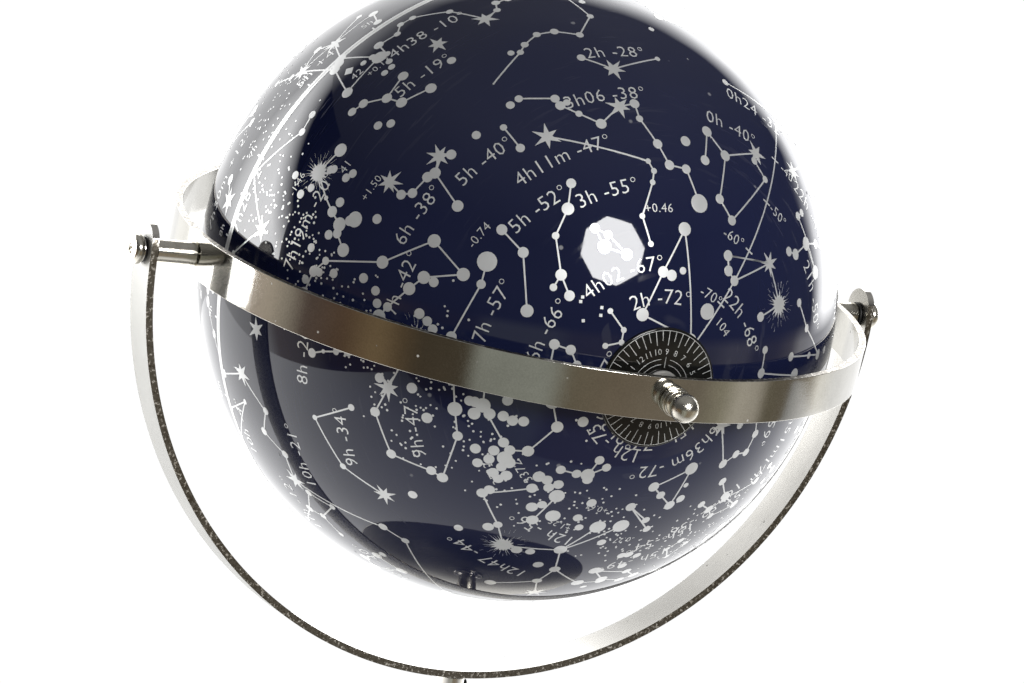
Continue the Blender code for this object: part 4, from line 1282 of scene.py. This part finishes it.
        "16.83/-69/1.8 15.94/-63.3/2.9 15.34/-68.6/2.9 15.63/-66.4/3.6 16.28/-63.7/3.6 "
        "16.5/-66.2/5", "acdba"),
    "tucana": (6, 22.8, -68.2,
        "22.34/-60.3/1.9s 23.31/-58.4/3.6b 0/-65.6/3.4 .34/-65/3.3 .54/-63/3.2 22.47/-65/3.6 "
        ".39/-72.3/1.3", "edcbebaf"),
    "ursaMajor": (9, 10.9, 51,
        "11.06/61.8/1.8 11.03/56.4/2.4 11.9/53.7/2.4 12.26/57/3.3 12.9/56/1.8 13.4/54.9/2.2b "
        "13.79/49.3/1.9 9.55/51.7/3.2 8.99/48/3.1 8.51/60.7/3.4 11.16/44.5/3 10.37/41.5/3.1 "
        "11.31/33.1/3.5 9.85/59/3.8", "gfedabcd anj bnhi ckl km"),
    "ursaMinor": (9, 15.6, 82,
        "2.53/89.3/2b 17.54/86.6/4.4 16.77/82/4.2 15.73/77.8/4.3 14.85/74.2/2.1 15.35/71.8/3 "
        "16.29/75.8/5", "abcdefgd"),
    "vela": (4, 9.76, -47.4,
        "8.16/-47.3/1.8s 8.75/-54.7/2 9.37/-55/1.8 9.95/-54.8/3.4 10.78/-49.6/3 "
        "10.6/-48.2/3.4 10.22/-42/3.4 9.51/-40.6/3.4 9.09/-43.3/2b", "abcdefghia"),
    "virgo": (5, 13.3, 2,
        "13.42/-11.2/1 12.69/-1.4/2.7 12.93/3.4/3.4 13.04/11/2.8 11.84/1.8/3.6 12.33/-.7/3.9 "
        "13.58/-.6/3.4 13.17/-5.5/4.4 14.03/1.5/4.3 14.77/1.9/3.7 14.27/-6/4.1 "
        "14.21/-10.3/4.2", "efbcd bha cgij akl"),
    "volans": (6, 6.97, -65.8,
        "9.04/-66.4/4 8.43/-66.1/3.8 8.13/-68.6/4.4 7.24/-68/3.4 7.18/-70.6/3.5 7.65/-72.4/4",
        "abcdefc"),
    "vulpecula": (9, 19.6, 26, "19.48/24.7/4.4 19.27/21.4/4.8 19.89/24.1/4.6", "bac"),
    "columba": (7, 6.46, -38.2,
        "6.33/-30.3/2.4b 6.37/-33.6/3.6 6.26/-35.1/3.6 5.96/-35.3/3.3 5.85/-35.8/3 "
        "5.64/-34.1/2.2b 5.51/-35.4/3.4 5.99/-42.8/3", "abcdefg eh"),
}

# stars that stand alone, clusters among them
fieldStars = (
    "5.2/-10.9/4.4 5.23/-12.5/4.4 5.34/-12.6/4.4 5.41/-6.5/4.6 5.87/-20.9/3.8 "
    "5.75/-22.6/3.8 4.66/-19.6/3.8 4/-24/4.6 6.61/-22.6/3.9 6.52/-23.3/3.9 6.95/-17/4.1 "
    "7.08/-15.5/3.8 6.93/-12/4 6.9/-24.3/3.6 7.32/-25.3/3.7 6.82/-32.4/3.6 7.57/-22.9/4 "
    "7.8/-26.3/4 7.96/-23.9/4 7.73/-29.2/3.8 7.61/-35/3.6 7.19/-46.8/3.6 7.7/-37.9/3.8 "
    "7.86/-38.9/3.8 7.76/-46.6/3.4 7.83/-48.3/3.7 7.93/-49.6/3.7 8.95/-41.7/3.5 "
    "9.03/-47.6/3.2 9.56/-50/3.1 11.01/-42.6/3.6 8.83/-13.9/3.4b 4.64/-14.3/4b "
    "1.97/-21/4.8 1.91/-46.5/3.2 2.72/-13.8/4.6 3.7/-37.6/4.5 9.2/-58.1/3.2 "
    "9.47/-57.9/2.6 9.49/-60.2/2.9 9.57/-62.2/3.2 9.72/-63.5/3.2 9.15/-63/3.3 "
    "10.29/-57/3.2 10.43/-59.6/3.1 10.61/-58.4/3.2 10.63/-56.5/3.4 10.7/-60.7/1.6 "
    "10.86/-61/2.6 10.9/-59.6/3.4 10.97/-58/3 11.16/-59.6/2.9 11.16/-58.2/3.4 "
    "11.34/-56/3.2 11.6/-63.7/2.6 11.83/-64.3/3.2 12.06/-63.6/3.3 12.17/-65/3.3 "
    "10.38/-73.7/3.2 11.9/-46/3.8 12.96/-49.6/3 13.19/-50.6/3.6 13.57/-47.7/3.2 "
    "13.4/-61.4/3.6 13.44/-64.9/3.4 13.62/-59.6/3.9 14.4/-56.8/3.7 15.05/-52.2/3.6 "
    "15.2/-47.9/3.4 15.4/-51/3.8 14.8/-47.2/3.9"
)
# the great cloud's clusters
smallBlocks = "5.66/-67.4 5.52/-67.1 5.24/-70.2 5.45/-71 6.05/-69.7"
# a square: hours, degrees and side
nebula = (5.59, -5.4, 0.0026)
# catalogue numbers and magnitudes beside single objects: words, hours, degrees, share of smallHeight
numberLabels = (
    ("42", 5.56, -7.8, 1.0), ("41", 6.5, -21.2, 1.0), ("104", 23.3, -72.2, 1.0),
    ("3532", 10.98, -57.9, 1.0), ("3372", 11.24, -62.1, 1.0), ("-0.74", 6.12, -48.9, 0.95),
    ("+0.46", 2.64, -58.8, 0.95), ("+1.50", 6.53, -28.2, 0.85), ("-1.46", 7.0, -13.6, 0.85),
    ("+0.13", 5.33, -10.2, 0.85), ("+1.25", 13.16, -58.9, 0.8), ("+0.61", 13.7, -64.2, 0.8),
    ("-0.27", 14.91, -57.2, 0.8), ("+0.03", 18.7, 36, 0.85), ("-0.05", 14.2, 16.5, 0.85),
    ("+0.08", 5.3, 49, 0.85),
)


def readStars(words):
    stars = []
    for word in words.split():
        hours, degrees, size = word.split("/")
        stars.append((float(hours), float(degrees), float(size.rstrip("bs")), size[-1]))
    return stars


starShape = {
    "disc": (0.00300, 0.00042),        # a star's radius at magnitude 0, and how much it loses for each step
    "burst": (0.0048, 0.0002),
    "burstRays": (6, 7),
    "burstCore": 0.36,
    "sunDisc": 0.0020,
    "sunBurst": 0.0042,
    "sunTeeth": 16,
    "sunCore": 0.55,
    "sunRays": 30,
    "rayLength": (0.0052, 0.0085),
    "rayHalfWidth": 0.00019,
    "block": 0.00065,
    "lineEnd": 8,                      # past this magnitude a place is only the end of a line
}


def starRadius(kind, magnitude):
    first, step = starShape[kind]
    return first - step * magnitude


def addStar(work, star, random_):
    hours, degrees, magnitude, kind = star
    if magnitude > starShape["lineEnd"]:
        return
    if kind == "b":
        rays = random_.choice(starShape["burstRays"])
        addBurst(work, hours, degrees, starRadius("burst", magnitude), rays, starShape["burstCore"],
                 random_)
    elif kind == "s":
        addDisc(work, hours, degrees, starShape["sunDisc"])
        addBurst(work, hours, degrees, starShape["sunBurst"], starShape["sunTeeth"], starShape["sunCore"],
                 random_)
    else:
        addDisc(work, hours, degrees, starRadius("disc", magnitude))


def addRays(work, star, random_):
    # thin uneven spikes round a rayed sun, each a slim triangle
    hours, degrees = star[:2]
    rays = starShape["sunRays"]
    for index in range(rays):
        length = random_.uniform(*starShape["rayLength"])
        spike = bmesh.ops.create_circle(work, cap_ends=True, segments=3, radius=1.0)["verts"]
        bmesh.ops.scale(work, vec=(starShape["rayHalfWidth"], length / 1.5, 1), verts=spike)
        bmesh.ops.translate(work, vec=(0, length / 3, 0), verts=spike)
        turn = math.tau * (index + random_.uniform(0, 0.5)) / rays
        bmesh.ops.rotate(work, matrix=Matrix.Rotation(turn, 3, "Z"), verts=spike)
        pressShape(spike, hours, degrees)


def labelWords(length, hours, degrees):
    # a name of this length becomes the place of its constellation, in hours and degrees
    whole, minutes = int(hours), round(hours % 1 * 60) % 60
    if length <= 7:
        return f"{whole}h {round(degrees):+d}°"
    if length <= 9:
        return f"{whole}h{minutes:02d} {round(degrees):+d}°"
    return f"{whole}h{minutes:02d}m {round(degrees):+d}°"


def buildStars():
    random_ = random.Random(11)
    stars, lines, names = bmesh.new(), bmesh.new(), bmesh.new()
    for length, labelHours, labelDegrees, words, chains in figures.values():
        read = readStars(words)
        places = [starDirection(star[0], star[1]) for star in read]
        for star in read:
            addStar(stars, star, random_)
            if star[3] == "s":
                addRays(stars, star, random_)
        for chain in chains.split():
            order = [ord(letter) - ord("a") for letter in chain]
            for first, last in zip(order, order[1:]):
                addLine(lines, places[first], places[last])
        if length:
            addText(names, labelWords(length, labelHours, labelDegrees), labelHours, labelDegrees,
                    chart["nameHeight"])
    for star in readStars(fieldStars):
        addStar(stars, star, random_)
    for word in smallBlocks.split():
        hours, degrees = (float(part) for part in word.split("/"))
        addDisc(stars, hours, degrees, starShape["block"], 4)
    hours, degrees, side = nebula
    addDisc(stars, hours, degrees, side * math.sqrt(0.5), 4)
    for words, hours, degrees, share in numberLabels:
        addText(names, words, hours, degrees, chart["smallHeight"] * share)
    for work, name in ((stars, "printedStars"), (lines, "printedLines"), (names, "printedPlaces")):
        finishChart(name, work)


def galacticDirection(longitude, latitude):
    # the Milky Way's own axes, turned to hours and declination
    poleHours, poleDegrees, node = math.radians(192.86), math.radians(27.13), math.radians(122.93)
    sine = (math.sin(latitude) * math.sin(poleDegrees)
            + math.cos(latitude) * math.cos(poleDegrees) * math.cos(node - longitude))
    y = math.cos(latitude) * math.sin(node - longitude)
    x = (math.sin(latitude) * math.cos(poleDegrees)
         - math.cos(latitude) * math.sin(poleDegrees) * math.cos(node - longitude))
    return (math.degrees(poleHours + math.atan2(y, x)) / 15) % 24, math.degrees(math.asin(sine))


milkyWay = {"dots": 1900, "spread": 4.6, "clumps": 70, "clumpSpread": 2.4, "faintStars": 170,
            "faintness": (3.9, 5.1)}


def buildMilkyWay():
    random_ = random.Random(29)
    clumps = [(random_.uniform(0, 360), random_.gauss(0, milkyWay["spread"]))
              for _ in range(milkyWay["clumps"])]
    work = bmesh.new()
    for index in range(milkyWay["dots"]):
        if index % 3:
            longitude, latitude = random_.uniform(0, 360), random_.gauss(0, milkyWay["spread"])
        else:
            centre = random_.choice(clumps)
            longitude = random_.gauss(centre[0], milkyWay["clumpSpread"])
            latitude = random_.gauss(centre[1], milkyWay["clumpSpread"])
        hours, degrees = galacticDirection(math.radians(longitude), math.radians(latitude))
        if abs(degrees) < 79:
            addDisc(work, hours, degrees, chart["dotRadius"] * random_.uniform(0.8, 1.15), 6)
    for _ in range(milkyWay["faintStars"]):
        # small lone stars over the side the figures leave bare
        hours, degrees = random_.uniform(13, 36) % 24, math.degrees(math.asin(random_.uniform(-0.75, 0.97)))
        if degrees > 2 or 14 < hours < 21.5:
            addDisc(work, hours, degrees, starRadius("disc", random_.uniform(*milkyWay["faintness"])), 12)
    finishChart("printedMilkyWay", work)


scales = {
    "equatorOffset": 0.00068,
    "equatorWidth": 0.00110,
    "tick": 0.0032,
    "degreeHeight": 0.0034,
    "hourShare": 0.85,               # the hours' height, as a share of the degrees'
    "hourLatitude": 4.1,
    "hourTick": (0.008, 0.028),      # from and to, in radians from the equator
    "meridianEnd": 78,
    "meridianSteps": 14,
    "sideFar": 0.55,                 # the degrees stand this many hours beside the line near the poles,
    "sideNear": -0.36,               # and this many elsewhere
    "farFrom": 55,
}


def buildScales():
    # the equator's double line with its hours, and the zero meridian with its degrees
    work = bmesh.new()
    radius = ballRadius - chart["sink"]
    for side in (-1, 1):
        band = bmesh.ops.create_grid(work, x_segments=240, y_segments=1, size=0.5)["verts"]
        for vert in band:
            angle = vert.co.x * math.tau
            height = side * (scales["equatorOffset"] + scales["equatorWidth"] * vert.co.y) / ballRadius
            vert.co = direction(angle, height) * radius
    bmesh.ops.remove_doubles(work, verts=work.verts, dist=tiny)
    for hour in range(24):
        height = scales["degreeHeight"] * scales["hourShare"]
        addText(work, f"{hour}h", hour, scales["hourLatitude"], height)
        longitude = chartAngles(hour, 0)[0]
        addLine(work, *(direction(longitude, latitude) for latitude in scales["hourTick"]))
    steps = scales["meridianSteps"]
    for first, last in ((-scales["meridianEnd"], -1), (1, scales["meridianEnd"])):
        for step in range(steps):
            ends = [starDirection(0, first + (last - first) * (step + extra) / steps) for extra in (0, 1)]
            addLine(work, *ends)
    half = scales["tick"] / 2 / ballRadius
    for degrees in (*range(-70, 0, 10), *range(10, 80, 10)):
        longitude, latitude = chartAngles(0, degrees)
        reach = half / math.cos(latitude)
        addLine(work, direction(longitude - reach, latitude), direction(longitude + reach, latitude))
        side = scales["sideFar"] if abs(degrees) > scales["farFrom"] else scales["sideNear"]
        addText(work, f"{degrees:+d}°", side, degrees, scales["degreeHeight"])
    finishChart("printedScales", work)


buildStars()
print("stars, figures and places printed")
buildMilkyWay()
buildScales()
print("Milky Way and scales printed")


# hour dials

dialShape = {
    "steps": 160,
    "ticks": 48,
    "tickWidth": 0.00020,
    "longTick": 0.0042,
    "shortTick": 0.0029,
    "rimLine": 0.00014,
    "rimInset": 0.0009,
    "rimEase": 0.0005,
    "numeralHeight": 0.0019,
    "numeralRadius": 0.0115,
    "topHour": 8,
    "arcRadii": (0.0077, 0.0093),
    "crossMarks": 4,
    "crossReach": (0.0068, 0.0100),
    "arcGap": 0.16,              # radians between an arc's end and its cross mark
    "thickness": 0.0006,
    "lift": 0.00005,
}


def ringLine(work, radius, width, surface, first=0.0, turn=math.tau, pieces=96):
    # a thin line on the dial, at this distance from the axis
    band = bmesh.ops.create_grid(work, x_segments=pieces, y_segments=1, size=0.5)["verts"]
    for vert in band:
        angle, reach = first + (vert.co.x + 0.5) * turn, radius + vert.co.y * width
        height = math.sqrt(surface ** 2 - reach ** 2)
        vert.co = Vector((reach * math.cos(angle), reach * math.sin(angle), height))


def buildDial(pole):
    node, place = "hour_dial_" + pole, polePlace[pole]
    bore, radius, _, top = turnedSize(node, place)
    surface = math.hypot(bore, top)
    under = surface - dialShape["thickness"]
    ease = dialShape["rimEase"]
    bodyOutline = arc(surface, math.degrees(math.acos(bore / surface)),
                      math.degrees(math.acos((radius - ease) / surface)), 24)
    shoulder, corner = Vector(bodyOutline[-1]), Vector((radius, math.sqrt(surface ** 2 - radius ** 2)))
    lower = corner - Vector((0, ease * 0.9))
    for t in (0.25, 0.5, 0.75, 1.0):
        bodyOutline.append(tuple(shoulder * (1 - t) ** 2 + corner * 2 * t * (1 - t) + lower * t * t))
    bodyOutline += arc(under, math.degrees(math.acos(radius / under)),
                       math.degrees(math.acos(bore / under)), 24)
    standIn("dial." + pole, lathe(bodyOutline, dialShape["steps"]), place, (dialGloss,), node)

    work = bmesh.new()
    face = surface - dialShape["lift"]
    rim = radius - dialShape["rimInset"]
    for index in range(dialShape["ticks"]):
        length = dialShape["shortTick"] if index % 2 else dialShape["longTick"]
        angle = math.tau * index / dialShape["ticks"]
        ends = [direction(angle, math.acos(reach / face)) for reach in (rim - length, rim)]
        addLine(work, *ends, width=dialShape["tickWidth"], radius=face)
    ringLine(work, rim + 0.0001, dialShape["rimLine"], face)
    thin, gap = dialShape["tickWidth"] * 0.8, dialShape["arcGap"]
    for mark in range(dialShape["crossMarks"]):
        start = math.tau * mark / dialShape["crossMarks"]
        for reach in dialShape["arcRadii"]:
            ringLine(work, reach, thin, face, start + gap, math.pi / 2 - 2 * gap, 24)
        ends = [direction(start, math.acos(reach / face)) for reach in dialShape["crossReach"]]
        addLine(work, *ends, width=thin, radius=face)
    bmesh.ops.remove_doubles(work, verts=work.verts, dist=tiny)

    def pressNumeral(verts, turn, reach):
        for vert in verts:
            flat = Matrix.Rotation(turn, 2) @ Vector((vert.co.x, vert.co.y + reach))
            vert.co = Vector((flat.x, flat.y, math.sqrt(face ** 2 - flat.length_squared)))

    for index in range(24):
        turn = math.tau * index / 24
        hour = (index + dialShape["topHour"]) % 12 + 1
        addText(work, str(hour), turn, dialShape["numeralRadius"], dialShape["numeralHeight"], pressNumeral)
    finishPrint("dialScale." + pole, work, place, pole + "_dial", dialShape["lift"] * 2)


for pole in polePlace:
    buildDial(pole)
print("dials printed")


# the one part that keeps its CAD shape

weight = frame["nodes"]["base_weight"].data
weight.materials.clear()
weight.materials.append(castIron)


# stage: white sweep, white table, softbox, and the room that the gloss reflects

room = {
    "sweep": 1.04,              # the white background the camera sees
    "fill": (0.04, 0.63),       # soft light for everything matt, from upper left to lower right
    "overhead": 0.27,           # the ceiling in the gloss
    "tableCorner": (-0.36, -0.21),
    "tableReach": (0.75, 0.75),
    "tableLight": (0.34, 2.10),  # the white table's brightness at its front edge and behind the ball
    "tableSlope": (-0.21, 0.14),
    "softbox": {"azimuth": 5, "elevation": 23, "distance": 1.5, "radius": 0.30, "brightness": 20.0,
                "sides": 8, "turn": 0.39},
    "card": {"near": (-0.838, 0.420, 0), "far": (-0.351, 0.890, 0), "top": 0.74, "brightness": 10.0,
             "fades": (((0, 1, 0), 0.55, 0.89, 1.0, 0.23), ((0, -1.45, 1), -0.50, -0.27, 1.0, 0.0))},
    "cutSoftness": 7.0,          # how far the bright zone's upper edge fades, in degrees
    "sweepSize": 6.0,
    "sweepDrop": 0.0004,
    "tableDrop": 0.0008,
}
# the room at the ball's height by azimuth: brightness, and the elevation up to which it is that bright
highRoom = (
    (-180, 1.8, 35), (-165, 2.0, 35), (-157, 2.0, 33), (-150, 2.0, 28), (-142, 2.0, 22), (-134, 2.0, 12),
    (-124, 1.5, 2), (-118, 0.07, 0), (103, 0.07, 12), (110, 4.6, 14), (118, 5.6, 25), (128, 5.6, 34),
    (143, 5.6, 41), (160, 4.6, 42), (168, 1.9, 40), (180, 1.8, 35),
)
# the room below the horizon by azimuth
lowRoom = (
    (-180, (1.5, 1.49, 1.46)), (-129, (1.4, 1.39, 1.36)), (-122, (0.653, 0.554, 0.469)),
    (-112, (0.54, 0.469, 0.383)), (-104, (0.369, 0.327, 0.27)), (-97, (0.128, 0.094, 0.08)),
    (-82, (0.128, 0.08, 0.051)), (-70, (0.241, 0.17, 0.094)), (-62, (0.142, 0.099, 0.057)),
    (-55, (0.082, 0.064, 0.043)), (-40, (0.088, 0.071, 0.048)), (-35, (0.355, 0.369, 0.327)),
    (-12, (0.355, 0.369, 0.327)), (-5, (0.199, 0.17, 0.121)), (10, (0.227, 0.185, 0.135)),
    (40, (0.256, 0.22, 0.17)), (50, (0.369, 0.341, 0.256)), (57, (0.596, 0.554, 0.469)),
    (65, (0.511, 0.469, 0.398)), (70, (0.17, 0.149, 0.106)), (82, (0.199, 0.17, 0.128)),
    (91, (0.426, 0.383, 0.312)), (97, (1.193, 1.164, 1.093)), (108, (1.2, 1.2, 1.2)),
    (180, (1.3, 1.3, 1.3)),
)


def roomDirection(azimuth, elevation):
    # azimuth 0 looks towards -Y and 90 towards +X
    azimuth, elevation = math.radians(azimuth), math.radians(elevation)
    return Vector((math.cos(elevation) * math.sin(azimuth), -math.cos(elevation) * math.cos(azimuth),
                   math.sin(elevation)))


def glow(name, brightness, fades):
    # an emission material; each fade is a direction, two distances along it, and the shares there
    material = bpy.data.materials.new(name)
    material.use_nodes = True
    tree = material.node_tree
    tree.nodes.remove(tree.nodes["Principled BSDF"])
    strength = brightness
    for along, *ends in fades:
        reach = vectorNode(tree, "DOT_PRODUCT", addNode(tree, "TexCoord")["Object"], along)["Value"]
        strength = mathNode(tree, "MULTIPLY", rangeNode(tree, reach, *ends), strength)
    light = addNode(tree, "Emission", {"Strength": strength})["Emission"]
    setInputs(tree, tree.nodes["Material Output"], {"Surface": light})
    return material


def stagePiece(name, work, brightness, fades=(), **visible):
    mesh = meshOf(work, name)
    mesh.materials.append(glow(name, brightness, fades))
    piece = newObject(name, mesh)
    for kind, state in visible.items():
        setattr(piece, "visible_" + kind, state)


def buildCard():
    # a white card behind the ball on the left, brightest at its near side and fading out upwards
    card = room["card"]
    work = bmesh.new()
    bmesh.ops.create_grid(work, x_segments=1, y_segments=1, size=0.5)
    near, far, top = Vector(card["near"]), Vector(card["far"]), card["top"]
    bmesh.ops.scale(work, vec=((far - near).length, top, 1), verts=work.verts)
    middle = (near + far) / 2 + upAxis * (top / 2)
    place = axisPlace(upAxis.cross(far - near), far - near, middle)
    bmesh.ops.transform(work, matrix=place, verts=work.verts)
    stagePiece("card", work, card["brightness"], card["fades"], camera=False, diffuse=False, shadow=False)


def buildSoftbox():
    box = room["softbox"]
    out = roomDirection(box["azimuth"], box["elevation"])
    work = bmesh.new()
    bmesh.ops.create_circle(work, cap_ends=True, segments=box["sides"], radius=box["radius"])
    level = Vector((math.cos(box["turn"]), math.sin(box["turn"]), 0))
    place = axisPlace(-out, level, ballCentre + out * box["distance"])
    bmesh.ops.transform(work, matrix=place, verts=work.verts)
    stagePiece("softbox", work, box["brightness"], camera=False)


def buildFloor():
    work = bmesh.new()
    bmesh.ops.create_grid(work, x_segments=1, y_segments=1, size=room["sweepSize"])
    bmesh.ops.translate(work, vec=(0, 0, -room["sweepDrop"]), verts=work.verts)
    stagePiece("sweep", work, room["sweep"], glossy=False, diffuse=False, shadow=False)
    work = bmesh.new()
    bmesh.ops.create_grid(work, x_segments=1, y_segments=1, size=0.5)
    (left, front), (right, back) = room["tableCorner"], room["tableReach"]
    bmesh.ops.scale(work, vec=(right - left, back - front, 1), verts=work.verts)
    middle = ((left + right) / 2, (front + back) / 2, -room["tableDrop"])
    bmesh.ops.translate(work, vec=middle, verts=work.verts)
    front, behind = room["tableLight"]
    fade = ((0, 1, 0), *room["tableSlope"], front / behind, 1.0)
    stagePiece("table", work, behind, (fade,), camera=False)


def rampNode(tree, source, stops):
    # a colour for each azimuth, and even changes between them
    node = tree.nodes.new("ShaderNodeValToRGB")
    elements = node.color_ramp.elements
    for azimuth, _ in stops[1:-1]:
        elements.new(azimuth / 360 + 0.5)
    for element, (_, colour) in zip(elements, stops):
        element.color = (*colour, 1.0)
    setInputs(tree, node, {"Fac": source})
    return node.outputs["Color"]


worldShape = {
    "lift": (8.0, 11.5),            # highRoom's brightness times this, from patch to patch
    "ceilingStart": (25, 60, 0.08),  # elevations between which the ceiling brightens, and its first share
    "horizon": (-6.5, -3.5),        # elevations between which the low room gives way to the high one
    "fillSpan": (-1.2, 1.0),
}


def buildWorld():
    world = bpy.data.worlds.new("room")
    bpy.context.scene.world = world
    world.use_nodes = True
    tree = world.node_tree
    tree.nodes.clear()
    view = addNode(tree, "TexCoord")["Generated"]
    turned = addNode(tree, "Mapping", {"Vector": view, "Rotation": (0, 0, math.pi / 2)})["Vector"]
    around = addNode(tree, "TexGradient", {"Vector": turned}, gradient_type="RADIAL")["Fac"]
    high = rampNode(tree, around, [(azimuth, (value / 10,) * 3) for azimuth, value, _ in highRoom])
    cut = rampNode(tree, around, [(azimuth, (angle / 90,) * 3) for azimuth, _, angle in highRoom])
    low = rampNode(tree, around, lowRoom)
    axes = addNode(tree, "SeparateXYZ", {"Vector": view})
    elevation = mathNode(tree, "MULTIPLY", mathNode(tree, "ARCSINE", axes["Z"]), 180 / math.pi)
    past = mathNode(tree, "SUBTRACT", elevation, mathNode(tree, "MULTIPLY", cut, 90))
    ceiling = rangeNode(tree, elevation, *worldShape["ceilingStart"], room["overhead"])
    stretched = addNode(tree, "Mapping", {"Vector": view, "Scale": (1.0, 1.0, 0.35),
                                          "Rotation": (0.5, 0.3, 0.0)})["Vector"]
    uneven = rangeNode(tree, noiseNode(tree, stretched, 2.2, 3.0, 0.5), 0.35, 0.65, *worldShape["lift"])
    lifted = mathNode(tree, "MULTIPLY", high, uneven)
    soft = rangeNode(tree, past, -room["cutSoftness"], room["cutSoftness"])
    above = mixColour(tree, soft, lifted, ceiling)
    reflected = mixColour(tree, rangeNode(tree, elevation, *worldShape["horizon"]), low, above)
    slant = mathNode(tree, "SUBTRACT", axes["X"], axes["Z"])
    fill = rangeNode(tree, slant, *worldShape["fillSpan"], *room["fill"])
    seen = addNode(tree, "LightPath")
    lit = mixColour(tree, seen["Is Diffuse Ray"], reflected, fill)
    shown = mixColour(tree, seen["Is Camera Ray"], lit, (room["sweep"],) * 3)
    backdrop = addNode(tree, "Background", {"Color": shown})["Background"]
    addNode(tree, "OutputWorld", {"Surface": backdrop})


def buildCamera():
    view = {"offset": (-0.6308, -1.2158, 0.2079), "lens": 155.63, "right": (0.887, -0.431, 0.166),
            "forward": (0.455, 0.875, -0.163)}
    forward = Vector(view["forward"]).normalized()
    right = Vector(view["right"])
    right = (right - forward * right.dot(forward)).normalized()
    turn = Matrix((right, right.cross(forward), -forward)).transposed()
    data = bpy.data.cameras.new("camera")
    data.lens, data.sensor_width = view["lens"], 36.0
    camera = bpy.data.objects.new("camera", data)
    bpy.context.scene.collection.objects.link(camera)
    camera.matrix_world = Matrix.Translation(ballCentre + Vector(view["offset"])) @ turn.to_4x4()
    bpy.context.scene.camera = camera


buildSoftbox()
buildCard()
buildFloor()
buildWorld()
buildCamera()
bpy.context.scene.view_settings.view_transform = "Standard"
print("stage set")
